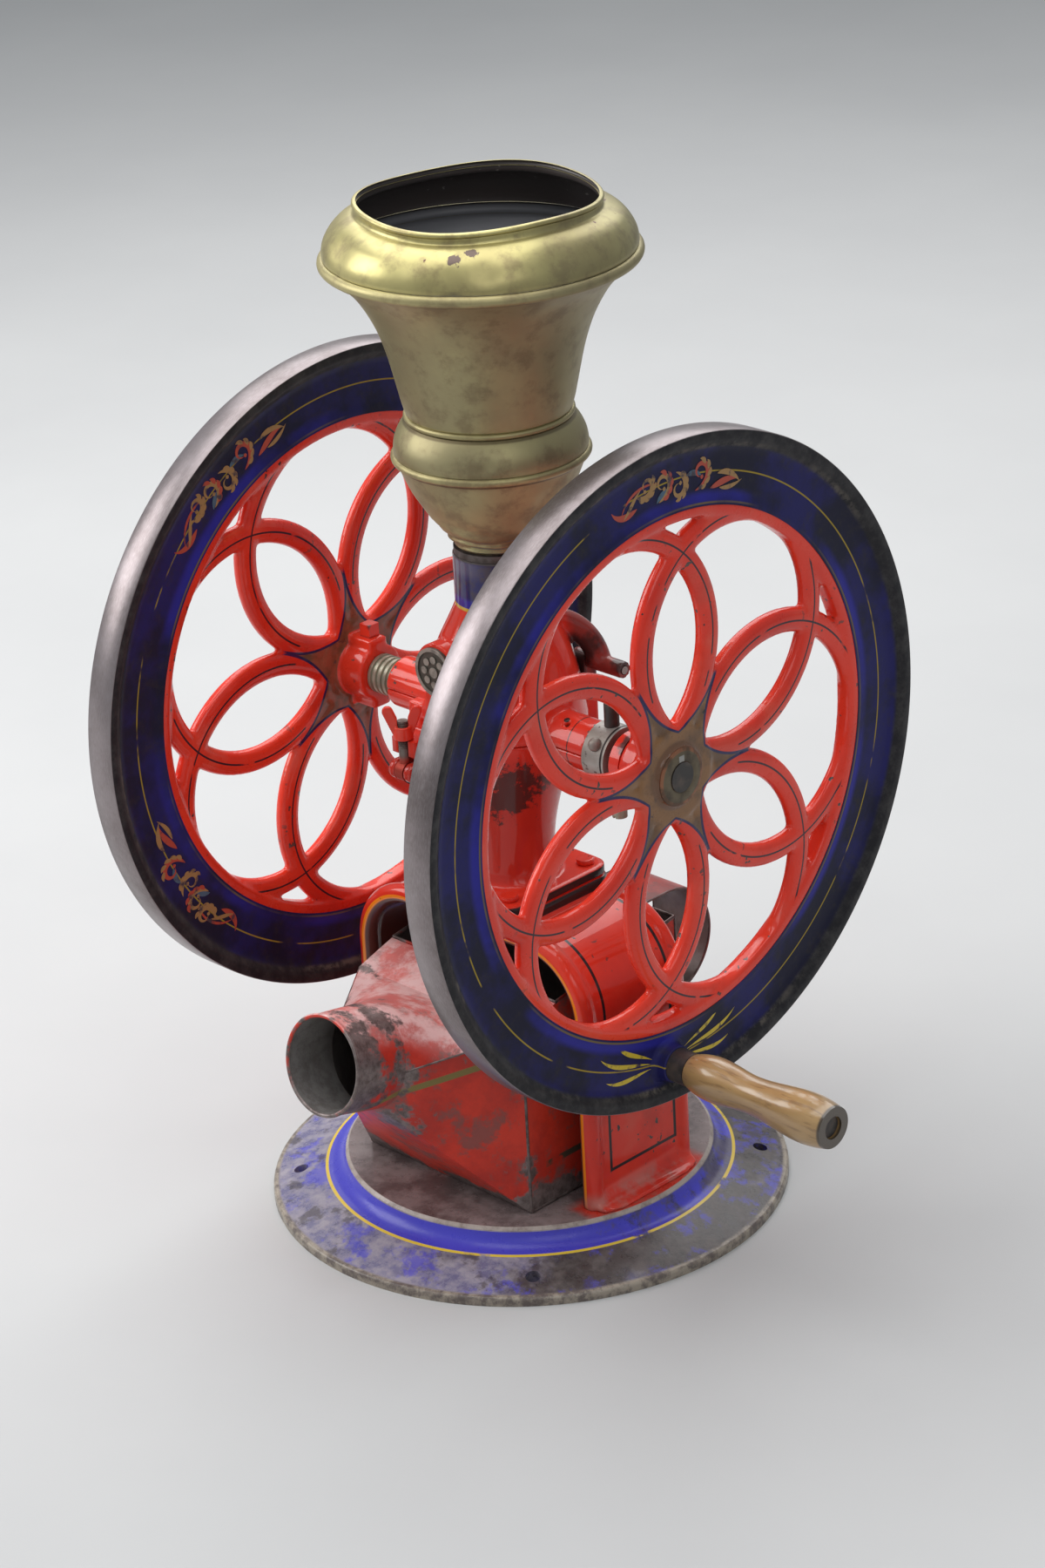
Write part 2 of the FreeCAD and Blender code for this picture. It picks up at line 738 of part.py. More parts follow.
def wing_nut():
    base = Vector(latch_x, latch_y, wing_base)
    hub = Part.makeCone(wing_nut_radius, wing_nut_radius - wing_nut_taper, wing_nut_height, base)
    bore = rod_z(swing_bolt_radius + running_gap, wing_base, wing_base + wing_rise, latch_x, latch_y)
    nut = hub.fuse([wing_blade(-1), wing_blade(1)]).cut(bore)
    nut.rotate(base, Vector(0, 0, 1), wing_turn)
    return nut


# Medallion on the front of the casing: a disc with a raised edge and a plain rosette

def medallion():
    back = -medallion_face
    front = back - medallion_thickness
    disc = rod_y(medallion_radius, front, back, medallion_x, medallion_z)
    floor = front + medallion_thickness / 3
    shape = disc.cut(rod_y(medallion_radius - medallion_edge, front, floor, medallion_x, medallion_z))
    petals = [rod_y(medallion_centre, front, back, medallion_x, medallion_z)]
    for index in range(medallion_petals):
        angle = 2 * math.pi * index / medallion_petals
        x = medallion_x + medallion_petal_circle * math.cos(angle)
        z = medallion_z + medallion_petal_circle * math.sin(angle)
        petals.append(rod_y(medallion_petal_radius, front, back, x, z))
    return shape.fuse(petals)


# Axle and its bearings

def key_block(side, gap):
    half = key_size / 2 + gap
    middle = axle_height + side * shaft_radius
    low, high = sorted((side * hub_end, side * (hub_end - key_length)))
    return block((low - gap, -half, middle - half), (high + gap, half, middle + half))


def main_shaft():
    shaft = rod_x(shaft_radius, -shaft_end, shaft_end)
    return shaft.cut([key_block(1, seat_gap), key_block(-1, seat_gap)])


def wheel_keys():
    return Part.makeCompound([key_block(1, 0), key_block(-1, 0)])


def left_bush():
    return sleeve_x(bush_radius, shaft_radius + running_gap, -arm_left, -chamber_radius)


def right_bush():
    return sleeve_x(bush_radius, shaft_radius + running_gap, fixed_burr_end, bush_end)


def thrust_ring():
    return sleeve_x(thrust_ring_radius, shaft_radius + seat_gap, thrust_start, hub_start)


def left_collar():
    start = -hub_start
    end = -left_collar_start
    third = (end - start) / 3
    ring = sleeve_x(left_collar_radius, shaft_radius + seat_gap, start, end)
    groove = sleeve_x(left_collar_radius, left_collar_radius - left_collar_groove, start + third, end - third)
    return ring.cut(groove)


# Grinding pieces: a feed worm on the shaft, a burr that turns, with windows for the beans, and a fixed burr

def feed_worm():
    start = worm_end_gap - chamber_radius
    end = turning_burr_start
    core_radius = shaft_radius + worm_flight / 2
    half = worm_flight / 2
    helix = Part.makeHelix(worm_pitch, end - start - worm_flight, core_radius)
    inner = core_radius - half / 2
    section = Part.makePolygon([
        Vector(inner, 0, -half), Vector(worm_radius, 0, -half), Vector(worm_radius, 0, half),
        Vector(inner, 0, half), Vector(inner, 0, -half)])
    pipe = Part.BRepOffsetAPI.MakePipeShell(helix)
    pipe.setFrenetMode(True)
    pipe.add(section)
    pipe.build()
    pipe.makeSolid()
    flight = pipe.shape()
    flight.rotate(Vector(0, 0, 0), Vector(0, 1, 0), 90)
    flight.translate(Vector(start + half, 0, axle_height))
    core = rod_x(core_radius, start, end)
    return core.fuse(flight).cut(rod_x(shaft_radius + seat_gap, start, end))


def turned_copies(shape, count):
    copies = []
    for index in range(count):
        copy = shape.copy()
        copy.rotate(Vector(0, 0, axle_height), Vector(1, 0, 0), 360 * index / count)
        copies.append(copy)
    return copies


def burr_slots(start, end):
    half = burr_tooth_width / 2
    inner_end = burr_eye + burr_tooth_width
    slot = block((start, inner_end, axle_height - half), (end, 2 * burr_radius, axle_height + half))
    return turned_copies(slot, burr_teeth)


def fixed_burr():
    ring = sleeve_x(burr_radius, burr_eye, burr_face, fixed_burr_end)
    return ring.cut(burr_slots(burr_face, burr_face + burr_tooth_depth))


def turning_burr():
    ring = sleeve_x(burr_radius, shaft_radius + seat_gap, turning_burr_start, turning_burr_end)
    window = rod_x(burr_window_radius, turning_burr_start, turning_burr_end, burr_window_circle)
    ring = ring.cut(turned_copies(window, burr_window_count))
    return ring.cut(burr_slots(turning_burr_end - burr_tooth_depth, turning_burr_end))


# Grind adjuster: a steel collar on the right bush, with a lever, a lock screw and a clamp screw below

def turned_up(shape):
    shape.rotate(Vector(0, 0, axle_height), Vector(1, 0, 0), -lock_screw_angle)
    return shape


def adjuster_collar():
    collar = sleeve_x(adjuster_radius, bush_radius + running_gap, adjuster_start, adjuster_end)
    inside = bush_radius + free_gap
    outside = 2 * adjuster_radius
    lever_hole = rod_z(lever_radius + seat_gap, axle_height + inside, axle_height + outside, adjuster_middle)
    clamp_hole_radius = clamp_screw_radius + seat_gap
    clamp_hole = rod_z(clamp_hole_radius, axle_height - outside, axle_height - inside, clamp_screw_x)
    screw_hole = rod_y(lock_screw_radius + seat_gap, -outside, -inside, adjuster_middle, axle_height)
    return collar.cut([lever_hole, clamp_hole, turned_up(screw_hole)])


def adjuster_lever():
    bottom = axle_height + bush_radius + 2 * free_gap
    top = axle_height + adjuster_radius + lever_length
    tip = Part.makeSphere(lever_radius, Vector(adjuster_middle, 0, top))
    return rod_z(lever_radius, bottom, top, adjuster_middle).fuse(tip)


def clamp_screw():
    top = axle_height - bush_radius - 2 * free_gap
    bottom = axle_height - adjuster_radius - clamp_screw_length
    half = clamp_screw_slot / 2
    slot = block((clamp_screw_x - half, -adjuster_radius, bottom),
                 (clamp_screw_x + half, adjuster_radius, bottom + clamp_screw_slot))
    return rod_z(clamp_screw_radius, bottom, top, clamp_screw_x).cut(slot)


def lock_screw():
    head_radius = lock_screw_radius * screw_head_ratio
    tip = -bush_radius - 2 * free_gap
    shank = rod_y(lock_screw_radius, -adjuster_radius, tip, adjuster_middle, axle_height)
    head = Part.makeSphere(head_radius, Vector(adjuster_middle, -adjuster_radius, axle_height))
    front = block((adjuster_middle - head_radius, -2 * adjuster_radius, axle_height - head_radius),
                  (adjuster_middle + head_radius, -adjuster_radius, axle_height + head_radius))
    return turned_up(head.common(front).fuse(shank))


# Flywheel: a rim, six overlapping rings that leave petal openings, and a long hub

def wheel_rim():
    half = rim_width / 2
    web = web_thickness / 2
    band = wheel_radius - rim_depth
    lip = half - web
    outline = [
        (-half, wheel_radius), (half, wheel_radius), (half, band + lip), (web, band), (web, web_inner_radius),
        (-web, web_inner_radius), (-web, band), (-half, band + lip)]
    face = Part.Face(Part.makePolygon([Vector(x, r, 0) for x, r in outline + outline[:1]]))
    return face.revolve(Vector(0, 0, 0), Vector(1, 0, 0), 360)


def wheel_ring():
    half = ring_width / 2
    deep = ring_thickness / 2
    shoulder = (half * ring_shoulder_out, deep * ring_shoulder_up)
    right = [(half, deep * ring_edge), shoulder, (half * ring_flat, deep)]
    left = [(-u, v) for u, v in reversed(right)]
    outline = right + left + [(u, -v) for u, v in reversed(right + left)]
    middle = ring_offset + ring_radius
    face = Part.Face(Part.makePolygon([Vector(v, middle + u, 0) for u, v in outline + outline[:1]]))
    return face.revolve(Vector(0, ring_offset, 0), Vector(1, 0, 0), 360)


def flywheel(side, turn):
    shapes = [wheel_rim()]
    for index in range(ring_count):
        ring = wheel_ring()
        ring.rotate(Vector(0, 0, 0), Vector(1, 0, 0), turn + 360 * (index + 0.5) / ring_count)
        shapes.append(ring)
    wheel = shapes[0].fuse(shapes[1:])
    wheel.translate(Vector(side * rim_middle, 0, axle_height))
    middle = side * rim_middle
    low, high = sorted((side * hub_start, side * hub_end))
    hub = rod_x(hub_radius, low, high)
    disc = rod_x(hub_disc_radius, middle - ring_thickness / 2, middle + ring_thickness / 2)
    half = set_screw_boss / 2
    screw_x = side * (hub_start + hub_screw_inset)
    reach = hub_radius + set_screw_rise
    boss_low, boss_high = sorted((side * hub_start, middle))
    boss = block((boss_low, -half, axle_height - reach), (boss_high, half, axle_height + reach))
    wheel = wheel.fuse([hub, disc, boss])
    if side > 0:
        wheel = wheel.fuse(rod_x(crank_boss_radius, rim_middle, crank_boss_end, crank_y, crank_z))
        wheel = wheel.cut(rod_x(crank_pin_radius + seat_gap, 0, crank_boss_end, crank_y, crank_z))
    wheel = wheel.cut([rod_x(shaft_radius + seat_gap, low, high), key_block(side, seat_gap)])
    hole_low, hole_high = sorted((axle_height, axle_height - side * (reach + set_screw_head)))
    return wheel.cut(rod_z(set_screw_radius + seat_gap, hole_low, hole_high, screw_x))


def set_screw(side):
    x = side * (hub_start + hub_screw_inset)
    tip = axle_height - side * (shaft_radius + running_gap)
    seat = axle_height - side * (hub_radius + set_screw_rise)
    half = set_screw_head / 2
    low, high = sorted((tip, seat))
    head_low, head_high = sorted((seat, seat - side * set_screw_head))
    head = block((x - half, -half, head_low), (x + half, half, head_high))
    return rod_z(set_screw_radius, low, high, x).fuse(head)


def set_screws():
    return Part.makeCompound([set_screw(1), set_screw(-1)])


# Crank: a pin in the wheel, an iron ferrule and a turned wooden grip that spins on the pin

def crank_pin():
    head_end = grip_end - pin_head_sunk
    stem = rod_x(crank_pin_radius, rim_middle - web_thickness / 2, head_end, crank_y, crank_z)
    return stem.fuse(rod_x(pin_head_radius, head_end - pin_head_height, head_end, crank_y, crank_z))


def crank_ferrule():
    end = crank_boss_end + ferrule_length
    outer = rod_x(ferrule_radius, crank_boss_end, end, crank_y, crank_z)
    return outer.cut(rod_x(crank_pin_radius + seat_gap, crank_boss_end, end, crank_y, crank_z))


def crank_grip():
    stations = [(0, ferrule_radius), (grip_bulb_place, grip_bulb_radius), (grip_waist_place, grip_waist_radius),
                (grip_barrel_place, grip_barrel_radius), (1, grip_end_radius)]
    side = curve([at(radius, share * grip_length) for share, radius in stations])
    ends = [at(grip_end_radius, grip_length), at(0, grip_length), at(0, 0), at(ferrule_radius, 0)]
    shape = spun([side] + path(ends))
    head_depth = pin_head_sunk + pin_head_height + free_gap
    shape = shape.cut(rod_z(crank_pin_radius + running_gap, 0, grip_length))
    shape = shape.cut(rod_z(pin_head_radius + free_gap, grip_length - head_depth, grip_length))
    shape.rotate(Vector(0, 0, 0), Vector(0, 1, 0), 90)
    shape.translate(Vector(grip_start, crank_y, crank_z))
    return shape


# Hopper: a bowl with a neck, a waisted bell and a domed shoulder with the open mouth, each spun from sheet

def shell(outer_edges, inner_edges):
    outer = Part.Wire(outer_edges)
    inner = Part.Wire(inner_edges)
    first = Part.makeLine(outer.OrderedVertexes[0].Point, inner.OrderedVertexes[0].Point)
    last = Part.makeLine(outer.OrderedVertexes[-1].Point, inner.OrderedVertexes[-1].Point)
    return spun(outer_edges + inner_edges + [first, last])


def bead_ring(radius, height, thickness):
    return Part.makeTorus(radius, thickness, Vector(0, 0, height))


def bowl_edges(inset):
    neck_top = collar_top + neck_rise
    rise = bowl_height - neck_top
    grow = bowl_radius - neck_radius
    side = curve([at(neck_radius - inset + grow * out, neck_top + rise * up) for out, up in bowl_profile])
    return path([at(neck_radius - inset, neck_bottom), at(neck_radius - inset, neck_top)]) + [side]


def hopper_bowl():
    bead = bead_ring(bowl_radius - sheet / 2, bowl_height, bowl_bead)
    return shell(bowl_edges(0), bowl_edges(sheet)).fuse(bead)


def bell_edges(inset):
    foot = bowl_height + bowl_bead
    rise = bell_height - waist_height
    grow = bell_radius - waist_radius
    bulge_middle = at(bowl_radius - inset - 2 * sheet, (foot + waist_height) / 2 + sheet)
    bulge = arc(at(bowl_radius - inset, foot), bulge_middle, at(waist_radius - inset, waist_height))
    flare = curve([at(waist_radius - inset + grow * out, waist_height + rise * up) for out, up in bell_profile])
    return [bulge, flare]


def hopper_bell():
    shape = shell(bell_edges(0), bell_edges(sheet))
    waist = bead_ring(waist_radius - sheet / 2, waist_height, waist_bead)
    return shape.fuse([waist, bead_ring(bell_radius - sheet / 2, bell_height, bell_bead)])


def shoulder_edges(inset):
    foot = bell_height + bell_bead
    collar_foot = mouth_height - mouth_collar - inset
    middle_radius = mouth_radius + (bell_radius - mouth_radius) * shoulder_fullness - inset
    dome_middle = at(middle_radius, foot + (collar_foot - foot) * shoulder_fullness)
    dome = arc(at(bell_radius - inset, foot), dome_middle, at(mouth_radius - inset, collar_foot))
    return [dome] + path([at(mouth_radius - inset, collar_foot), at(mouth_radius - inset, mouth_height)])


def hopper_shoulder():
    lip = bead_ring(mouth_radius - sheet / 2, mouth_height, mouth_lip)
    return shell(shoulder_edges(0), shoulder_edges(sheet)).fuse(lip)


def neck_ring():
    ring = rod_z(neck_radius + neck_ring_width, collar_top, collar_top + neck_rise)
    return ring.cut(rod_z(neck_radius + seat_gap, collar_top, collar_top + neck_rise))


# Bin: a sheet-metal box that is open above, with a hood that narrows to a round spout

def bin_box():
    outer = prism_x([
        (bin_front, bin_floor), (bin_back, bin_floor), (bin_back, bin_back_height),
        (bin_open_front, bin_open_height), (bin_front, bin_front_height)], -bin_half_width, bin_half_width)
    above = bin_back_height + bin_open_height
    inner = prism_x([
        (bin_front, bin_floor + sheet), (bin_back - sheet, bin_floor + sheet), (bin_back - sheet, above),
        (bin_open_front, above), (bin_open_front, bin_open_height - sheet),
        (bin_front, bin_front_height - sheet)], sheet - bin_half_width, bin_half_width - sheet)
    return outer.cut(inner)


def spout_axis():
    tilt = math.radians(spout_tilt)
    return Vector(0, -math.cos(tilt), math.sin(tilt))


def spout_base():
    return Vector(0, spout_mouth_y, spout_mouth_z) - spout_axis() * spout_length


def hood_loft(inset):
    half = bin_half_width - inset
    low = bin_floor + inset
    high = bin_front_height - inset
    left_top = Vector(-half, bin_front, high)
    right_top = Vector(half, bin_front, high)
    right_low = Vector(half, bin_front, low)
    left_low = Vector(-half, bin_front, low)
    frame = Part.Wire(path([left_top, right_top, right_low, left_low, left_top]))
    radius = spout_radius - inset
    up = spout_axis().cross(Vector(1, 0, 0))

    def on_circle(degrees):
        angle = math.radians(degrees)
        return spout_base() + Vector(radius * math.cos(angle), 0, 0) + up * (radius * math.sin(angle))

    right = -hood_corner_turn
    left = hood_corner_turn - 180
    turns = [(180, 0), (0, right), (right, left), (left, -180)]
    ring = Part.Wire([
        arc(on_circle(start), on_circle((start + end) / 2), on_circle(end)) for start, end in turns])
    return Part.makeLoft([frame, ring], True, True)


def bin_hood():
    return hood_loft(0).cut(hood_loft(sheet))


def bin_spout():
    base = spout_base()
    outer = Part.makeCone(spout_radius, spout_mouth_radius, spout_length, base, spout_axis())
    inner = Part.makeCone(spout_radius - sheet, spout_mouth_radius - sheet, spout_length, base, spout_axis())
    mouth = base + spout_axis() * spout_length
    lip = Part.makeTorus(spout_mouth_radius - sheet / 2, spout_lip, mouth, spout_axis())
    return outer.cut(inner).fuse(lip)


def handle_loop(radius):
    low = (-handle_half_width, bin_back, handle_height - radius)
    high = (handle_half_width, handle_middle, handle_height + radius)
    bend = rod_x(radius, -handle_half_width, handle_half_width, handle_middle, handle_height)
    return block(low, high).fuse(bend)


def bin_handle():
    strap = handle_loop(handle_radius).cut(handle_loop(handle_radius - sheet))
    inside = handle_radius - sheet
    outside = handle_radius + handle_tab
    for start, end in ((-outside, -inside), (inside, outside)):
        low = (-handle_half_width, bin_back, handle_height + start)
        high = (handle_half_width, bin_back + sheet, handle_height + end)
        strap = strap.fuse(block(low, high))
    return strap.removeSplitter()


# Every piece, by name

pieces = {
    "base_plate": base_plate,
    "stand": stand,
    "foot_screws": foot_screws,
    "flange_bolts": flange_bolts,
    "lower_casing": lower_casing,
    "upper_casing": upper_casing,
    "hinge_pin": hinge_pin,
    "latch_pin": latch_pin,
    "swing_bolt": swing_bolt,
    "wing_nut": wing_nut,
    "medallion": medallion,
    "main_shaft": main_shaft,
    "wheel_keys": wheel_keys,
    "left_bush": left_bush,
    "right_bush": right_bush,
    "thrust_ring": thrust_ring,
    "left_collar": left_collar,
    "feed_worm": feed_worm,
    "fixed_burr": fixed_burr,
    "turning_burr": turning_burr,
    "adjuster_collar": adjuster_collar,
    "adjuster_lever": adjuster_lever,
    "lock_screw": lock_screw,
    "clamp_screw": clamp_screw,
    "near_flywheel": lambda: flywheel(1, near_wheel_turn),
    "far_flywheel": lambda: flywheel(-1, far_wheel_turn),
    "set_screws": set_screws,
    "crank_pin": crank_pin,
    "crank_ferrule": crank_ferrule,
    "crank_grip": crank_grip,
    "hopper_bowl": hopper_bowl,
    "hopper_bell": hopper_bell,
    "hopper_shoulder": hopper_shoulder,
    "neck_ring": neck_ring,
    "bin_box": bin_box,
    "bin_hood": bin_hood,
    "bin_spout": bin_spout,
    "bin_handle": bin_handle,
}

for name, make in pieces.items():
    save(name, make())
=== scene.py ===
import json
import math

import bmesh
import bpy
from mathutils import Matrix, Vector


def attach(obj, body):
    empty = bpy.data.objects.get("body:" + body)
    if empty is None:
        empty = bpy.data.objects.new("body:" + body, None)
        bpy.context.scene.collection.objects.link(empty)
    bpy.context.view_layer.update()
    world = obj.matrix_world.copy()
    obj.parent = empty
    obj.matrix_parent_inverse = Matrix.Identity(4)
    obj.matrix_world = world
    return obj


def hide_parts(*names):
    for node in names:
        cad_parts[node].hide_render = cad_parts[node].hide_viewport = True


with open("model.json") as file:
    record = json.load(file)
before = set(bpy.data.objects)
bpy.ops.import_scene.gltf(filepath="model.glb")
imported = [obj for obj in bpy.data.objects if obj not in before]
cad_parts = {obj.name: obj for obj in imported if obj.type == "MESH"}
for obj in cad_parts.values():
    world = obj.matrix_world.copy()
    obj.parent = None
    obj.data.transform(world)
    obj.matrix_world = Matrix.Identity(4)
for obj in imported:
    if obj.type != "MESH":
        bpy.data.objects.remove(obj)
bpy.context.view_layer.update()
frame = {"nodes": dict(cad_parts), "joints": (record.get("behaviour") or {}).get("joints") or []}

# Base plate. A round grey-iron casting with a sloping shelf, a hollow moulding and a flat top.
# It was brushed with blue enamel and lined with one yellow ring; the shelf is worn to the iron, and painted
# shade darkens it and the cove towards +x and +y.
# Four bolts through the shelf hold it on a counter.

MM = 0.001


class Field:
    """A number that varies over a surface. As masks, & means both and | means either."""

    def __init__(self, finish, socket):
        self.finish = finish
        self.socket = socket

    def made_by(self, kind, *values, **settings):
        return Field(self.finish, self.finish.node(kind, self, *values, **settings).outputs[0])

    def math(self, operation, *others):
        return self.made_by("ShaderNodeMath", *others, operation=operation)

    def __add__(self, other):
        return self.math("ADD", other)

    def __sub__(self, other):
        return self.math("SUBTRACT", other)

    def __mul__(self, other):
        return self.math("MULTIPLY", other)

    __and__ = __mul__

    def __or__(self, other):
        return self.math("MAXIMUM", other)

    def __abs__(self):
        return self.math("ABSOLUTE")

    def hypot(self, other):
        return (self * self + other * other).math("SQRT")

    def step(self, low, high):
        """From 0 at low to 1 at high, softly; low may be the larger."""
        return self.made_by("ShaderNodeMapRange", low, high, 0.0, 1.0, interpolation_type="SMOOTHSTEP")

    def between(self, low, high):
        """A share of 0 to 1, spread over low to high."""
        return self.made_by("ShaderNodeMapRange", 0.0, 1.0, low, high)

    def above(self, limit, soft):
        """A mask of what is past a limit, with a soft edge, both in millimetres."""
        return self.step((limit - soft) * MM, (limit + soft) * MM)

    def below(self, limit, soft):
        return self.step((limit + soft) * MM, (limit - soft) * MM)

    def band(self, middle, half, soft):
        return abs(self - middle * MM).below(half, soft)


class Finish:
    """One surface finish, built up in layers from the metal outwards."""

    def __init__(self, name, metallic=0.0, roughness=0.45, specular=0.5, coat=0.0, coat_roughness=0.03):
        self.material = bpy.data.materials.new(name)
        self.material.use_nodes = True
        self.tree = self.material.node_tree
        self.shader = self.tree.nodes["Principled BSDF"]
        for socket, value in {
                "Metallic": metallic, "Roughness": roughness, "Specular IOR Level": specular,
                "Coat Weight": coat, "Coat Roughness": coat_roughness}.items():
            self.shader.inputs[socket].default_value = value
        self.place = self.node("ShaderNodeTexCoord").outputs["Object"]
        self.x, self.y, self.z = self.parts(self.place)
        self.colour = None

    def node(self, kind, *values, **settings):
        made = self.tree.nodes.new(kind)
        for key, value in settings.items():
            setattr(made, key, value)
        for socket, value in zip(made.inputs, values):
            self.join(value, socket)
        return made

    def join(self, value, socket):
        if isinstance(value, Field):
            value = value.socket
        if isinstance(value, bpy.types.NodeSocket):
            self.tree.links.new(value, socket)
        elif value is not None:
            if socket.type == "RGBA" and len(value) == 3:
                value = (*value, 1.0)
            socket.default_value = value

    def parts(self, vector):
        return [Field(self, socket) for socket in self.node("ShaderNodeSeparateXYZ", vector).outputs]

    def shape(self, output):
        """What the surface itself is like: its Normal or its Pointiness."""
        return self.node("ShaderNodeNewGeometry").outputs[output]

    def distance(self, place):
        """How far a point is from a place in millimetres."""
        place = [part * MM for part in place]
        made = self.node("ShaderNodeVectorMath", self.place, place, operation="DISTANCE")
        return Field(self, made.outputs["Value"])

    def noise(self, scale, detail=4.0, stretch=(1, 1, 1), rough=0.55, shift=0.0):
        place = self.place
        if stretch != (1, 1, 1) or shift:
            turned = self.node("ShaderNodeMapping", place)
            turned.inputs["Scale"].default_value = stretch
            turned.inputs["Location"].default_value = (shift, shift, shift)
            place = turned.outputs[0]
        made = self.node("ShaderNodeTexNoise", place)
        made.inputs["Scale"].default_value = scale
        made.inputs["Detail"].default_value = detail
        made.inputs["Roughness"].default_value = rough
        return Field(self, made.outputs[0])

    def mix(self, factor, under, over):
        made = self.node("ShaderNodeMix", data_type="RGBA")
        self.join(factor, made.inputs[0])
        self.join(under, made.inputs[6])
        self.join(over, made.inputs[7])
        return made.outputs[2]

    def mottled(self, noise, low, high, one, other):
        """Two colours, in patches of a noise."""
        return self.mix(noise.step(low, high), one, other)

    def paint(self, mask, over):
        """Lays a colour over what is there, where the mask says."""
        self.colour = self.mix(mask, self.colour, over)

    def edges(self, low, high):
        """How far a ridge stands out, for wear on the corners of a casting."""
        return Field(self, self.shape("Pointiness")).step(low, high)

    def finish(self, roughness=None, metallic=None, bumps=(), depth=0.4):
        """Joins the colour, the gloss and the bumps, in millimetres, to the shader."""
        self.join(self.colour, self.shader.inputs["Base Color"])
        self.join(roughness, self.shader.inputs["Roughness"])
        self.join(metallic, self.shader.inputs["Metallic"])
        normal = None
        for height, distance in bumps:
            bump = self.node("ShaderNodeBump")
            bump.inputs["Strength"].default_value = depth
            bump.inputs["Distance"].default_value = distance * MM
            self.join(height, bump.inputs["Height"])
            self.join(normal, bump.inputs["Normal"])
            normal = bump.outputs[0]
        self.join(normal, self.shader.inputs["Normal"])
        return self


def dress(finish, *nodes):
    """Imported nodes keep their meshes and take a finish."""
    for node in nodes:
        mesh = frame["nodes"][node].data
        mesh.materials.clear()
        mesh.materials.append(finish.material)


YELLOW = (0.78, 0.56, 0.06)
BASE_BLUE = (0.072, 0.067, 0.55)
COVE_RADIUS = 154.15
LINE_RADIUS = 154.5
SHELF_RADIUS = 191.75
TOP_RIM_RADIUS = 140.85
TOP_RIM_HEIGHT = 29
TOP_RADIUS = 137.2
TOP_HEIGHT = 31.25
FEET_ASIDE = 100
FEET_REACH = 60

base = Finish("base_blue_enamel", specular=0.35)
across = base.x.hypot(base.y)
blotch = base.noise(9, 6, rough=0.65)
speck = base.noise(70, 5, rough=0.7)
scrape = base.noise(24, 8, rough=0.72, shift=3.0)
iron = base.mottled(speck, 0.35, 0.7, (0.06, 0.051, 0.05), (0.13, 0.11, 0.105))
greyed = base.mottled(speck, 0.34, 0.66, (0.16, 0.15, 0.26), (0.35, 0.32, 0.37))
# Painted shade together with wear: towards +x and +y the shelf and the cove turn to dark iron.
worn_and_shaded_side = (base.x + base.y) * 0.75
base.colour = base.mottled(blotch + worn_and_shaded_side, 0.46, 0.64, greyed, iron)
base.paint(scrape.step(0.5, 0.6) * 0.7, BASE_BLUE)
dark_spots = base.noise(48, 6, rough=0.65, shift=11.0).step(0.53, 0.64)
base.paint(dark_spots * 0.7, (0.055, 0.043, 0.042))
cove_worn_and_shaded = (scrape + worn_and_shaded_side).step(0.58, 0.7) * 0.85
base.paint(across.below(COVE_RADIUS, 0.65), base.mix(cove_worn_and_shaded, BASE_BLUE, iron))
line_kept = base.noise(38, 4, shift=7.0).step(0.68, 0.6)
base.paint(across.band(LINE_RADIUS, 1.2, 0.3) & line_kept, YELLOW)
edge_tan = base.mottled(speck, 0.4, 0.62, (0.36, 0.31, 0.25), (0.13, 0.105, 0.095))
base.paint(across.above(SHELF_RADIUS, 1.25), edge_tan)
rim_tan = base.mottled(speck, 0.4, 0.7, (0.46, 0.4, 0.36), (0.24, 0.19, 0.17))
base.paint(across.below(TOP_RIM_RADIUS, 0.65) & base.z.above(TOP_RIM_HEIGHT, 0.5), rim_tan)
top_brown = base.mottled(scrape, 0.4, 0.62, (0.12, 0.085, 0.083), (0.27, 0.21, 0.205))
foot_red = base.mottled(speck, 0.45, 0.7, (0.6, 0.05, 0.03), (0.4, 0.16, 0.13))
by_feet = abs(base.x).above(FEET_ASIDE, 6) & abs(base.y).below(FEET_REACH, 6)
on_top = across.below(TOP_RADIUS, 0.6) & base.z.above(TOP_HEIGHT, 0.25)
base.paint(on_top, base.mix(by_feet, top_brown, foot_red))
base.finish(roughness=speck.between(0.14, 0.46), bumps=[(blotch, 1.4), (speck, 0.8)])
dress(base, "base_plate")

# Stand. A cast tunnel with a round bead along both open ends and a pad for the mill on its roof.
# Red enamel, with a black stripe looped over each side and an orange line along the front bead.
# Four screws from below hold it on the base.

RED = (0.84, 0.047, 0.02)
DEEP_RED = (0.66, 0.028, 0.013)


def worn_red(name, wear):
    """Red enamel on iron: the layers that every red casting shares, before its lines are drawn."""
    red = Finish(name, specular=0.15, coat=0.6, coat_roughness=0.07)
    red.wear = wear
    red.broad = red.noise(7, 4, rough=0.6)
    red.fine = red.noise(120, 4, rough=0.65)
    red.colour = red.mottled(red.broad, 0.35, 0.68, RED, DEEP_RED)
    red.paint(red.noise(17, 5, shift=2.0).step(0.54, 0.72) * 0.45, (0.74, 0.13, 0.08))
    return red


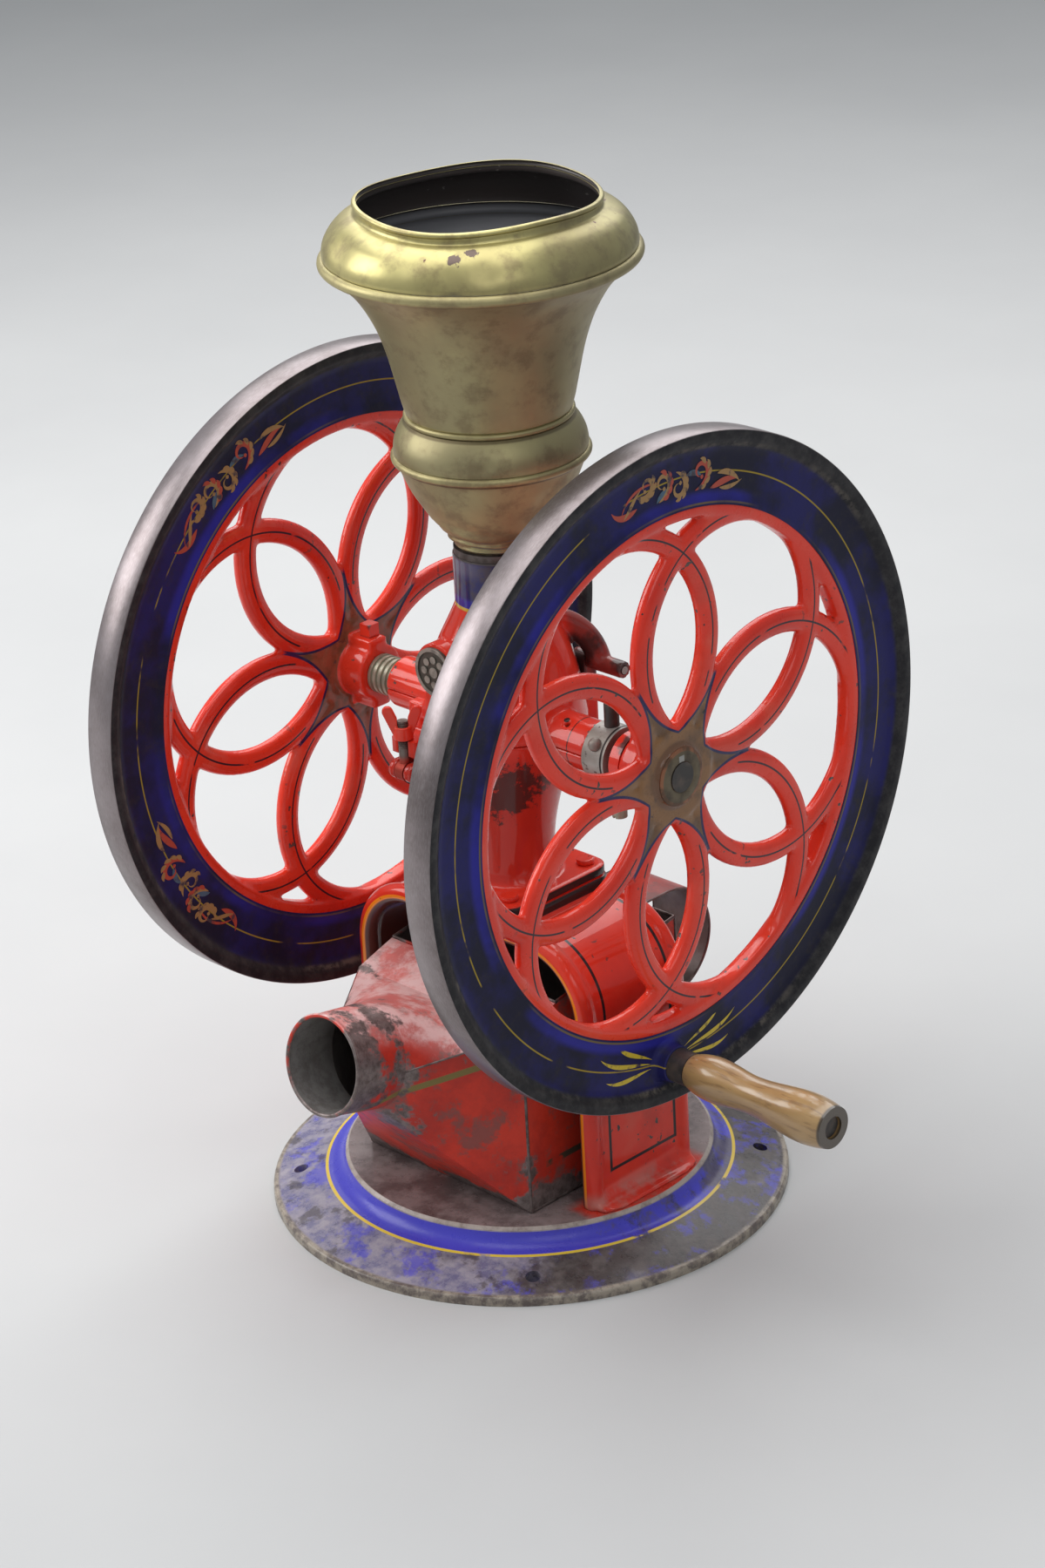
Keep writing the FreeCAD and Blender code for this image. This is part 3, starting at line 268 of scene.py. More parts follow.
def chipped(red, gloss=0.3):
    """Chips, soot, darker hollows and worn corners, laid over what the brush put on."""
    soot = red.noise(22, 6, shift=4.0).step(0.56, 0.74) * (0.45 * red.wear)
    hollows = red.edges(0.485, 0.43) * 0.55
    red.paint(hollows | soot, (0.09, 0.022, 0.018))
    clusters = red.noise(14, 2, shift=5.0).step(0.46, 0.62)
    chips = red.noise(150, 2, shift=9.0).step(0.665, 0.685) & clusters
    corners = red.edges(0.53, 0.6) & red.noise(60, 4, shift=1.0).step(0.5, 0.62)
    bare = red.mottled(red.fine, 0.4, 0.6, (0.035, 0.028, 0.028), (0.1, 0.065, 0.055))
    red.paint(chips | corners * red.wear, bare)
    roughness = red.fine.step(0.3, 0.75).between(gloss, gloss + 0.22)
    return red.finish(roughness, bumps=[(red.broad, 1.0), (red.fine, 0.3)], depth=0.35)


def placed(name, data):
    """A new object in the scene."""
    made = bpy.data.objects.new(name, data)
    bpy.context.scene.collection.objects.link(made)
    return made


def settled(shaped):
    """The mesh that an object's modifiers make. The object itself goes."""
    seen = shaped.evaluated_get(bpy.context.evaluated_depsgraph_get())
    made = bpy.data.meshes.new_from_object(seen)
    bpy.data.objects.remove(shaped)
    return made


def piece(name, mesh, finish, body, slot, *nodes, sharp=40):
    """A finished mesh becomes a piece that rides on a body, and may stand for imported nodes."""
    mesh.materials.clear()
    mesh.materials.append(finish.material)
    mesh.polygons.foreach_set("use_smooth", [True] * len(mesh.polygons))
    mesh.set_sharp_from_angle(angle=math.radians(sharp))
    made = placed(name, mesh)
    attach(made, body)
    if nodes:
        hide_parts(*nodes)


def relaxed(name, mesh, cell, rounds, finish, body, slot, *nodes):
    """A mesh made again in small cells, with its corners eased, as a casting comes from the sand."""
    rough = placed(name + "_rough", mesh)
    cells = rough.modifiers.new("cells", "REMESH")
    cells.mode = "VOXEL"
    cells.voxel_size = cell * MM
    smooth = rough.modifiers.new("relax", "SMOOTH")
    smooth.factor = 0.5
    smooth.iterations = rounds
    piece(name, settled(rough), finish, body, slot, *nodes)


def cast(name, node, cell, rounds, finish, body="frame"):
    """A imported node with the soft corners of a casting."""
    mesh = frame["nodes"][node].data.copy()
    merged = bmesh.new()
    merged.from_mesh(mesh)
    bmesh.ops.remove_doubles(merged, verts=merged.verts, dist=0.01 * MM)
    merged.to_mesh(mesh)
    merged.free()
    relaxed(name, mesh, cell, rounds, finish, body, "red_paint", node)


ARCH_ASIDE = 62.5
ARCH_HEIGHT = 183
ARCH_RADIUS = 50
STRIPE_FRONT = -30.5
STRIPE_BACK = 38
STRIPE_FOOT = 57
STRIPE = (1.3, 0.3)
FRONT_END = -52.9
PAD_FOOT = 240
PAD_TOP = 247.5

stand = worn_red("stand_red_enamel", 0.6)
beside = (abs(stand.x) - ARCH_ASIDE * MM).math("MAXIMUM", 0.0)
over_arch = (stand.z - ARCH_HEIGHT * MM).math("MAXIMUM", 0.0)
from_wall = beside.hypot(over_arch) - ARCH_RADIUS * MM
upright = stand.y.band(STRIPE_FRONT, *STRIPE) | stand.y.band(STRIPE_BACK, *STRIPE)
upright = upright & stand.z.above(STRIPE_FOOT - 1.25, 0.25)
level = stand.z.band(STRIPE_FOOT, *STRIPE) & stand.y.band(
    (STRIPE_FRONT + STRIPE_BACK) / 2, (STRIPE_BACK - STRIPE_FRONT) / 2 + 1.25, 0.3)
outside = from_wall.above(2.0, 0.5) & stand.z.below(PAD_FOOT + 0.25, 0.25)
stand.paint((upright | level) & outside, (0.02, 0.012, 0.014))
stand.paint(from_wall.band(-1.0, 1.7, 0.4) & stand.y.below(FRONT_END, 0.4), (0.95, 0.26, 0.01))
stand.paint(stand.z.above(PAD_FOOT, 0.5) & stand.z.below(PAD_TOP, 0.3), (0.02, 0.015, 0.015))
scuffed = stand.z.below(43, 7) & stand.noise(34, 6, shift=13.0).step(0.44, 0.6)
stand.paint(scuffed * 0.7, (0.5, 0.23, 0.19))
stand.paint(from_wall.below(-2.25, 0.75), (0.11, 0.035, 0.028))
chipped(stand)
cast("tunnel_stand", "stand", 1.9, 3, stand)


def dull_metal(name, metallic, scale, patches, one, other):
    """Old metal with a patchy film on it."""
    made = Finish(name, metallic)
    made.film = made.noise(scale, 5)
    made.colour = made.mottled(made.film, *patches, one, other)
    return made


turned_steel = dull_metal("turned_steel", 0.85, 40, (0.4, 0.7), (0.4, 0.385, 0.36), (0.2, 0.165, 0.14))
grain = turned_steel.noise(90, 6, stretch=(14, 1, 1))
turned_steel.finish(grain.between(0.28, 0.55), bumps=[(grain, 0.2)])
dress(turned_steel, "foot_screws")

# Mill casing. Two red castings that meet at the height of the axle, with a bearing arm on each side.
# The lower one is bolted to the pad by its flange; the upper one is held by a latch and a rear hinge.
# Its collar is blue with a yellow line at the foot, and the rear arm is brown with handling.

FLANGE_FOOT = 249.25
FLANGE_TOP = 255
COLLAR_LINE = 471.2
COLLAR_TOP = 507.65
ARM_SEAM = 79.5
OIL_HOLE = (69.2, -7.3, 397.1)
SCORCH = (31, -33, 338)


def joint_place(name):
    return Vector(next(joint["pos_m"] for joint in frame["joints"] if joint["name"] == name))


axle = joint_place("flywheel_spin")


def from_axle(finish):
    return finish.y.hypot(finish.z - axle.z)


casing = worn_red("casing_red_enamel", 0.75)
from_throat = casing.x.hypot(casing.y)
flange = casing.z.below(FLANGE_TOP, 0.5) & casing.z.above(FLANGE_FOOT, 0.25) & from_throat.above(35, 1)
casing.paint(flange, (0.018, 0.014, 0.014))
collar_worn = casing.noise(42, 6, shift=6.0, rough=0.65)
rust_side = (casing.x + casing.y).above(15, 7) & casing.noise(55, 5, shift=12.0).step(0.44, 0.54)
collar = casing.mottled(collar_worn, 0.4, 0.58, (0.022, 0.02, 0.12), (0.06, 0.043, 0.065))
for mask, over in [
        (casing.z.below(479, 2) & casing.noise(30, 4).step(0.4, 0.5), (0.035, 0.03, 0.3)),
        ((casing.z.above(497, 5) & casing.x.below(10, 10)) * 0.7, (0.15, 0.13, 0.18)),
        (rust_side & casing.z.above(484, 2), (0.16, 0.05, 0.04))]:
    collar = casing.mix(mask, collar, over)
casing.paint(casing.z.above(COLLAR_LINE - 0.35, 0.35), collar)
shaded = casing.z.below(362, 10) & casing.z.above(259, 3)
casing.paint(shaded * 0.4, (0.26, 0.02, 0.014))
casing.paint(casing.z.band(COLLAR_LINE, 1.2, 0.3), (0.62, 0.4, 0.03))
casing.paint(casing.z.above(COLLAR_TOP, 0.65) & from_throat.above(27, 0.5), (0.1, 0.085, 0.08))
rear_arm = casing.y.above(35, 5) & casing.z.above(397, 3) & casing.x.above(16, 4)
handled = casing.mottled(casing.noise(48, 5), 0.42, 0.6, (0.3, 0.05, 0.04), (0.07, 0.03, 0.028))
casing.paint(rear_arm, handled)
on_arm = from_axle(casing).below(21.5, 0.5)
casing.paint(on_arm & casing.x.band(ARM_SEAM, 0.5, 0.2), (0.05, 0.014, 0.012))
casing.paint(casing.distance(OIL_HOLE).below(2.35, 0.25), (0.03, 0.012, 0.01))
scorched = casing.noise(62, 8, rough=0.72) + casing.distance(SCORCH).below(31, 19) * 0.3
casing.paint(scorched.step(0.66, 0.74) * 0.9, (0.045, 0.02, 0.018))
chipped(casing)
for level in ("lower", "upper"):
    cast(level + "_mill_casing", level + "_casing", 1.5, 3, casing)

plain_red = chipped(worn_red("small_red_enamel", 0.9))
cast("flange_bolt_heads", "flange_bolts", 0.8, 4, plain_red)
dress(turned_steel, "hinge_pin")

# Latch. A steel swing bolt on a pin through two lugs, and a red cast wing nut that bears on the slotted ear.
# The bolt's thread is bare and dull. The nut is screwed down by hand.

THREAD_PITCH = 1.5
THREAD_FROM = 361
EYE_TOP = 354

thread = dull_metal("threaded_steel", 0.7, 70, (0.4, 0.65), (0.2, 0.17, 0.15), (0.09, 0.07, 0.06))
thread.paint(thread.z.below(EYE_TOP, 3), (0.4, 0.06, 0.04))
turns = (thread.z * (2 * math.pi / (THREAD_PITCH * MM))).math("SINE") * thread.z.above(THREAD_FROM, 1)
thread.finish(roughness=thread.film.between(0.4, 0.65), bumps=[(turns, 0.4)], depth=0.8)
dress(thread, "swing_bolt", "latch_pin")
cast("cast_wing_nut", "wing_nut", 0.6, 6, plain_red, "nut")

# Medallion. A round badge of dull white metal with a raised edge and a rosette, dark in its hollows.
# It sits on a boss of the upper casing.

BADGE_GROUND = -54.325


def filmed(metal, smooth=0.35, rough=0.6, bump=0.2):
    """The film gives the metal its gloss and its bumps too."""
    return metal.finish(metal.film.between(smooth, rough), bumps=[(metal.film, bump)])


badge = dull_metal("dull_white_metal", 0.75, 150, (0.4, 0.7), (0.42, 0.4, 0.34), (0.24, 0.22, 0.19))
badge.paint(badge.y.above(BADGE_GROUND, 0.125), (0.12, 0.11, 0.09))
dress(filmed(badge), "medallion")

# Axle, bearings and grind adjuster. A turned steel axle in bronze bushes, with a grooved bronze collar on the
# far side and a steel thrust ring on the near side. The adjuster is a steel collar with a blackened lever.

ADJUSTER_GROOVE = 114.8
COLLAR_RADIUS = 15.0
GROOVE_RADIUS = 13.5
GROOVES = (-126.4, -121.2, -116.0, -110.8)
on_axle = Vector((0, 0, axle.z))


def as_mesh(name, built):
    mesh = bpy.data.meshes.new(name)
    built.to_mesh(mesh)
    built.free()
    return mesh


def lathe(outline, centre, axis="X", steps=160):
    """A closed outline of (along, radius) points in millimetres, spun about an axis through centre."""
    made = bmesh.new()
    rings = []
    for along, radius in outline:
        ring = []
        for index in range(steps):
            angle = 2 * math.pi * index / steps
            around = (radius * math.cos(angle), radius * math.sin(angle))
            offset = Vector((along, *around) if axis == "X" else (*around, along))
            ring.append(made.verts.new(centre + offset * MM))
        rings.append(ring)
    for first, second in zip(rings, rings[1:] + rings[:1]):
        for index in range(steps):
            follow = (index + 1) % steps
            made.faces.new((first[index], first[follow], second[follow], second[index]))
    bmesh.ops.remove_doubles(made, verts=made.verts, dist=0.005 * MM)
    bmesh.ops.recalc_face_normals(made, faces=made.faces)
    return as_mesh("spun", made)


bronze = dull_metal("old_bronze", 0.6, 60, (0.4, 0.65), (0.4, 0.39, 0.3), (0.23, 0.235, 0.18))
grey_steel = dull_metal("grey_steel", 0.6, 35, (0.38, 0.66), (0.42, 0.4, 0.37), (0.27, 0.24, 0.21))
fleck = grey_steel.noise(220, 3)
grey_steel.paint(fleck.step(0.62, 0.7), (0.12, 0.09, 0.08))
grey_steel.paint(grey_steel.x.band(ADJUSTER_GROOVE, 0.9, 0.2), (0.03, 0.022, 0.02))
grey_steel.finish(grey_steel.film.between(0.35, 0.6), bumps=[(fleck, 0.2), (grey_steel.film, 0.4)])
black_steel = dull_metal("blackened_steel", 0.4, 90, (0.4, 0.7), (0.05, 0.046, 0.044), (0.11, 0.085, 0.072))
cast_grey = dull_metal("bare_cast_iron", 0.5, 160, (0.35, 0.7), (0.07, 0.065, 0.062), (0.13, 0.11, 0.1))
dress(filmed(bronze), "left_bush", "right_bush", "clamp_screw")
dress(grey_steel, "adjuster_collar", "lock_screw")
dress(filmed(black_steel, bump=0.3), "main_shaft", "adjuster_lever")
dress(filmed(cast_grey, 0.45, 0.75, 0.5), "feed_worm", "fixed_burr", "turning_burr")
dress(turned_steel, "wheel_keys")
dress(plain_red, "thrust_ring", "set_screws")

collar = [(-130.9, 11.1), (-130.9, 14.4), (-130.3, COLLAR_RADIUS)]
for groove in GROOVES:
    collar += [
        (groove - 1.3, COLLAR_RADIUS), (groove - 0.8, GROOVE_RADIUS),
        (groove + 0.8, GROOVE_RADIUS), (groove + 1.3, COLLAR_RADIUS)]
collar += [(-107.2, COLLAR_RADIUS), (-106.6, 14.4), (-106.6, 11.1)]
piece("grooved_collar", lathe(collar, on_axle, steps=64), bronze, "rotor", "bronze", "left_collar", sharp=30)

# Flywheels. One casting each: a wide rim with a thin web, six overlapping rings that leave petal openings,
# and a long hub. The tread is turned bright, the web is dark blue with a yellow line and gilt scrolls, and
# the rings are red with black lines. A key and a set screw hold each wheel on the axle.

RIM_MIDDLE = 162.0
RING_OFFSET = 108.0
RING_RADIUS = 87.4
PETALS = 6
SECTOR = 2 * math.pi / PETALS
STAR_REACH = 80
STAR_LENGTH = 52
STAR_HALF_WIDTH = 15.5
HUB_FROM = 131.0
HUB_TO = 173.0
HUB_RADIUS = 21.5
HUB_DISC = (155.5, 168.5)
HUB_DISC_RADIUS = 36
SCREW_BOSS = (17, 55)
WEB_FACE = 6.2


def joined(*meshes):
    made = bmesh.new()
    for mesh in meshes:
        made.from_mesh(mesh)
    return as_mesh("joined", made)


def geometry_tree(name, **sizes):
    """A geometry tree with named inputs for its sizes, with its way in and its way out."""
    tree = bpy.data.node_groups.new(name, "GeometryNodeTree")
    tree.interface.new_socket("Geometry", in_out="INPUT", socket_type="NodeSocketGeometry")
    for size, kind in sizes.items():
        tree.interface.new_socket(size, in_out="INPUT", socket_type=kind)
    tree.interface.new_socket("Finish", in_out="INPUT", socket_type="NodeSocketMaterial")
    tree.interface.new_socket("Geometry", in_out="OUTPUT", socket_type="NodeSocketGeometry")
    return tree, tree.nodes.new("NodeGroupInput"), tree.nodes.new("NodeGroupOutput")


def link_up(tree, given, last, result, links):
    """Links the nodes, and gives what the last one makes real faces and the finish."""
    real = tree.nodes.new("GeometryNodeRealizeInstances")
    painted = tree.nodes.new("GeometryNodeSetMaterial")
    for source, target in links + [
            (last.outputs[0], real.inputs[0]), (real.outputs[0], painted.inputs[0]),
            (given.outputs["Finish"], painted.inputs["Material"]), (painted.outputs[0], result.inputs[0])]:
        tree.links.new(source, target)


def grown(name, mesh, tree, finish, **sizes):
    """The mesh that a geometry tree makes from another mesh."""
    seed = placed(name + "_seed", mesh)
    modifier = seed.modifiers.new("grow", "NODES")
    modifier.node_group = tree
    sizes["Finish"] = finish.material
    for socket in tree.interface.items_tree:
        if socket.in_out == "INPUT" and socket.name in sizes:
            modifier[socket.identifier] = sizes[socket.name]
    return settled(seed)


round_axle, given, result = geometry_tree(
    "copies_round_the_axle", Count="NodeSocketInt", Turn="NodeSocketFloat")
add = round_axle.nodes.new
points = add("GeometryNodeMeshLine")
points.inputs["Offset"].default_value = (0, 0, 0)
index = add("GeometryNodeInputIndex")
share = add("ShaderNodeMath")
share.operation = "DIVIDE"
share.inputs[0].default_value = 2 * math.pi
angle = add("ShaderNodeMath")
angle.operation = "MULTIPLY_ADD"
facing = add("ShaderNodeCombineXYZ")
copies = add("GeometryNodeInstanceOnPoints")
link_up(round_axle, given, copies, result, [
    (given.outputs["Count"], points.inputs["Count"]), (given.outputs["Count"], share.inputs[1]),
    (index.outputs[0], angle.inputs[0]), (share.outputs[0], angle.inputs[1]),
    (given.outputs["Turn"], angle.inputs[2]), (angle.outputs[0], facing.inputs["X"]),
    (points.outputs[0], copies.inputs["Points"]), (given.outputs["Geometry"], copies.inputs["Instance"]),
    (facing.outputs[0], copies.inputs["Rotation"])])


def ring_red(name, turn, star):
    """Red rings with a black line along the middle of each, and a dull star with a blue edge at the hub."""
    red = worn_red(name, 0.45)
    radius = from_axle(red)
    angle = (red.z - axle.z).math("ARCTAN2", red.y)
    folded = abs((angle - turn).math("FLOORED_MODULO", SECTOR) - SECTOR / 2)
    along = radius * folded.math("COSINE")
    aside = radius * folded.math("SINE")
    lines = []
    for lean in (0.0, SECTOR):
        centre = RING_OFFSET * MM * Vector((math.cos(lean), math.sin(lean)))
        from_centre = (along - centre.x).hypot(aside - centre.y)
        lines.append(from_centre.band(RING_RADIUS, 0.7, 0.2))
    off_middle = abs(abs(red.x) - RIM_MIDDLE * MM)
    on_face = off_middle.above(3.85, 0.35)
    kept = radius.above(65, 1) & radius.below(186, 1) & on_face
    drawn = red.noise(30, 3, shift=8.0).step(0.64, 0.6)
    red.paint((lines[0] | lines[1]) & kept & drawn, (0.022, 0.012, 0.02))
    taper = (along - STAR_REACH * MM).math("DIVIDE", -STAR_LENGTH * MM).math("MAXIMUM", 0.0)
    past_star = aside - taper.math("POWER", 2.6) * (STAR_HALF_WIDTH * MM)
    near_hub = along.below(STAR_REACH, 0.2) & on_face & off_middle.below(7.5, 0.3)
    dull_star = red.mottled(red.noise(55, 5, shift=3.0), 0.4, 0.66, star, (0.13, 0.068, 0.034))
    red.paint(past_star.below(0, 0.3) & near_hub, dull_star)
    red.paint(past_star.band(0.4, 1.1, 0.3) & near_hub, (0.016, 0.014, 0.08))
    hub_round = abs(red.x).above(166.15, 0.65) & radius.below(25.5, 1)
    red.paint(hub_round, (0.17, 0.085, 0.045))
    return chipped(red, gloss=0.24)


INNER_EDGE = 195.7
BLUE_SHEEN_BAND = 199.5
WHEEL_LINE = 217.5
LIP_FROM = 235
LIP_STEP = 236.2
TREAD_FROM = 246.85

rim = Finish("rim_blue_and_bright_tread", specular=0.18)
radius = from_axle(rim)
cloud = rim.noise(11, 5, rough=0.65)
scuff = rim.noise(85, 5, rough=0.7)
rim.colour = rim.mottled(cloud, 0.44, 0.64, (0.012, 0.012, 0.032), (0.018, 0.017, 0.11))
rim.paint(scuff.step(0.5, 0.72) * 0.5, (0.032, 0.028, 0.026))
sheen_and_line_patches = rim.noise(6, 5, shift=15.0, rough=0.6).step(0.42, 0.6)
# Painted highlight: patches of brighter blue on the web near its inner edge.
rim.paint((radius.band(BLUE_SHEEN_BAND, 4, 3) & sheen_and_line_patches) * 0.9, (0.028, 0.026, 0.3))
rim.paint(radius.band(INNER_EDGE, 0.7, 0.4) & sheen_and_line_patches, (0.17, 0.12, 0.05))
lip = rim.mottled(scuff, 0.36, 0.74, (0.018, 0.017, 0.02), (0.05, 0.047, 0.047))
knocked = rim.noise(9, 4, shift=21.0).step(0.5, 0.64) & scuff.step(0.4, 0.6)
lip = rim.mix((radius.band(LIP_STEP, 2.2, 1.2) & knocked) * 0.8, lip, (0.14, 0.12, 0.1))
rim.paint(radius.above(LIP_FROM, 1.5), lip)
line_kept = rim.noise(16, 4, shift=2.0).step(0.62, 0.56)
rim.paint(radius.band(WHEEL_LINE, 0.55, 0.2) & line_kept, (0.36, 0.25, 0.03))
streak = rim.noise(260, 5, stretch=(6, 1, 1))
tread = rim.mottled(cloud, 0.35, 0.7, (0.29, 0.25, 0.255), (0.17, 0.14, 0.138))
tread = rim.mix(streak.step(0.4, 0.7) * 0.3, tread, (0.38, 0.35, 0.355))
on_tread = radius.above(TREAD_FROM, 0.15)
rim.paint(on_tread, tread)
rim.finish(
    roughness=on_tread.between(0.44, 0.36), metallic=on_tread * 0.85, bumps=[(cloud, 0.6), (scuff, 0.3)])

gilt = Finish("gilt_scroll_paint")
brush_colour = gilt.node("ShaderNodeAttribute", attribute_name="brush").outputs["Color"]
rubbed = gilt.noise(130, 4)
gilt.colour = gilt.mottled(rubbed, 0.52, 0.68, brush_colour, (0.05, 0.035, 0.05))
gilt.finish(roughness=rubbed.between(0.35, 0.55), bumps=[(rubbed, 0.1)])

GOLD = (0.36, 0.2, 0.07)
BRICK = (0.44, 0.06, 0.032)
TEAL = (0.06, 0.12, 0.18)
LEAF_YELLOW = (0.62, 0.45, 0.03)
STROKE_STEPS = 26
PAINT_RISE = 0.12
LAYER_RISE = 0.006
# Each place on a rim is an angle in degrees and a radius.
OUTER_SCROLL = (85.8, 214.5)
LEAVES = (-95.4, 216.5)
INNER_SCROLL = (121.3, 216.0)


def stroke(start, heading, length, bend, curl, width, colour, head):
    """One brush stroke, in millimetres along and across the rim: a line of points with widths."""
    along, across = start
    direction = math.radians(heading)
    spine = []
    for step in range(STROKE_STEPS + 1):
        share = step / STROKE_STEPS
        swell = math.sin(math.pi * share ** head) if 0 < share < 1 else 0.0
        spine.append((along, across, direction, width * (0.06 + 0.94 * swell) / 2))
        direction += math.radians(bend + (curl - bend) * share) / STROKE_STEPS
        along += math.cos(direction) * length / STROKE_STEPS
        across += math.sin(direction) * length / STROKE_STEPS
    return spine, colour


def rolled_leaf(start, heading, length, hand, width, colour, leaf):
    """A stem that rolls up to one hand round a ball, with short leaves on its outer edge."""
    stem = stroke(start, heading, length, hand * 80, hand * 620, width, colour, 0.8)
    spine = [point[:3] for point in stem[0]]
    along, across, direction = spine[-1]
    made = [stem, stroke((along, across), math.degrees(direction), 3.2, 0, 0, 3.2, colour, 1.0)]
    for place in (3, 6, 9, 12, 15):
        along, across, direction = spine[place]
        away = math.degrees(direction) - hand * 40
        made.append(stroke((along, across), away, 7.5, hand * 60, hand * 110, 3.4, leaf, 0.9))
    return made


def scroll_work():
    """A running scroll of leaves and curls, made for this rim."""
    return [
        stroke((-46, -5), 195, 28, -30, -150, 5.0, BRICK, 0.85),
        stroke((-62, -4), 55, 44, -95, -60, 2.2, BRICK, 0.9),
        stroke((-60, -7), 25, 24, 50, -50, 3.2, GOLD, 0.9),
        *rolled_leaf((-46, 4), -45, 38, 1, 4.0, GOLD, GOLD),
        stroke((-26, -9), 50, 18, -60, -50, 4.6, TEAL, 0.9),
        *rolled_leaf((-24, -9), 10, 42, 1, 4.2, GOLD, BRICK),
        *rolled_leaf((-6, 8), -20, 40, -1, 4.0, GOLD, GOLD),
        stroke((4, 3), 20, 16, -50, -60, 4.4, TEAL, 0.9),
        *rolled_leaf((14, -9), 12, 44, 1, 4.4, BRICK, GOLD),
        stroke((30, -9), 14, 30, 40, -90, 5.0, BRICK, 0.8),
        stroke((36, 1), 20, 26, -70, -40, 4.4, GOLD, 0.8),
        stroke((40, -9), -8, 24, 50, 40, 3.4, GOLD, 0.8)]


def leaf_strokes(side):
    """Three slim leaves that spread from the crank's boss."""
    return [
        ([(side * along, *rest) for along, *rest in spine], colour)
        for spine, colour in [
            stroke((17, 3.5), 2, 46, 62, -100, 3.5, LEAF_YELLOW, 1.2),
            stroke((17, 0.0), -14, 58, 58, -84, 3.5, LEAF_YELLOW, 1.25),
            stroke((17, -3.5), -26, 46, 56, -80, 3.5, LEAF_YELLOW, 1.2)]]


def paint_piece(name, face_x, outward, groups):
    """Strokes laid on a rim's flat face, each a hair above the one before, with its colour on its points."""
    vertices, faces, colours = [], [], []
    for strokes, centre_angle, mean_radius in groups:
        for layer, (spine, colour) in enumerate(strokes, 1):
            first = len(vertices)
            height = face_x + outward * (PAINT_RISE + layer * LAYER_RISE)
            for along, across, direction, half in spine:
                for edge in (half, -half):
                    angle = math.radians(centre_angle) - (along - math.sin(direction) * edge) / mean_radius
                    reach = mean_radius + across + math.cos(direction) * edge
                    vertices.append((
                        height * MM, reach * math.cos(angle) * MM, axle.z + reach * math.sin(angle) * MM))
                    colours.append((*colour, 1.0))
            corners = range(first, len(vertices) - 2, 2)
            faces += [(corner, corner + 1, corner + 3, corner + 2) for corner in corners]
    mesh = bpy.data.meshes.new(name)
    mesh.from_pydata(vertices, [], faces)
    brush = mesh.color_attributes.new("brush", "FLOAT_COLOR", "POINT")
    for index, colour in enumerate(colours):
        brush.data[index].color = colour
    turned = bmesh.new()
    turned.from_mesh(mesh)
    wrong = [face for face in turned.faces if face.normal.x * outward < 0]
    bmesh.ops.reverse_faces(turned, faces=wrong)
    turned.to_mesh(mesh)
    turned.free()
    piece(name, mesh, gilt, "rotor", "wheel_paint")


def oval(width, thickness, power=2.6, count=24):
    """Points of a full oval section."""
    made = []
    for index in range(count):
        angle = 2 * math.pi * index / count
        u, v = (math.copysign(abs(part) ** (2 / power), part) for part in (math.cos(angle), math.sin(angle)))
        made.append((v * thickness / 2, u * width / 2))
    return made


def drum(start, end, radius, steps):
    """A plain round block on the axle."""
    start, end = sorted((start, end))
    return lathe([(start, 0.2), (start, radius), (end, radius), (end, 0.2)], on_axle, steps=steps)


def screw_boss(start, end):
    """The block on the inner end of a hub that takes the set screw."""
    width, height = SCREW_BOSS
    made = bmesh.new()
    bmesh.ops.create_cube(made, size=1.0)
    bmesh.ops.scale(made, verts=made.verts, vec=(abs(end - start) * MM, width * MM, height * MM))
    bmesh.ops.translate(made, verts=made.verts, vec=((start + end) / 2 * MM, 0, axle.z))
    return as_mesh("screw_boss", made)


half_rim = [
    (0, 247.5), (11.7, 247.5), (12.3, 247.1), (12.5, 246.4), (12.5, 241.4), (12.1, 240.2), (9.4, 236.6),
    (7.7, 234.2), (6.8, 232.2), (6.3, 229.5), (6.2, 224), (6.1, 212), (6.2, 203), (6.5, 200.4), (7.0, 198.2),
    (7.6, 196.4), (7.6, 193.5), (0, 193.5)]
rim_outline = half_rim + [(-along, radius) for along, radius in reversed(half_rim[1:-1])]
inner_band = [(-7.4, 187), (-7.4, 196), (7.4, 196), (7.4, 187), (5.6, 185.6), (-5.6, 185.6)]
ring_outline = [(along, RING_RADIUS + out) for along, out in oval(18.6, 11.6)]

for side, wheel, turn, star in [
        (1, "near", math.radians(24.6), (0.25, 0.12, 0.045)),
        (-1, "far", math.radians(5.5), (0.3, 0.09, 0.05))]:
    node = wheel + "_flywheel"
    middle = Vector((side * RIM_MIDDLE * MM, 0, axle.z))
    piece(wheel + "_wheel_rim", lathe(rim_outline, middle, steps=224), rim, "rotor", "wheel_paint", node)
    red = ring_red(wheel + "_ring_red_enamel", turn, star)
    one_ring = lathe(ring_outline, Vector((0, RING_OFFSET * MM, 0)), steps=96)
    rings = grown(wheel + "_rings", one_ring, round_axle, red, Count=PETALS, Turn=turn + SECTOR / 2)
    rings.transform(Matrix.Translation(middle))
    casting = joined(
        rings, lathe(inner_band, middle), drum(side * HUB_FROM, side * HUB_TO, HUB_RADIUS, 72),
        drum(side * HUB_DISC[0], side * HUB_DISC[1], HUB_DISC_RADIUS, 96),
        screw_boss(side * HUB_FROM, side * RIM_MIDDLE))
    relaxed(wheel + "_wheel_rings", casting, 1.7, 5, red, "rotor", "wheel_paint", node)
    outer = [(scroll_work(), *OUTER_SCROLL)]
    if wheel == "near":
        outer += [(leaf_strokes(hand), *LEAVES) for hand in (-1, 1)]
    paint_piece(wheel + "_outer_scrolls", side * (RIM_MIDDLE + WEB_FACE), side, outer)
    angle, radius = INNER_SCROLL
    inner = [(scroll_work(), angle + 90 * quarter, radius) for quarter in range(4)]
    paint_piece(wheel + "_inner_scrolls", side * (RIM_MIDDLE - WEB_FACE), -side, inner)
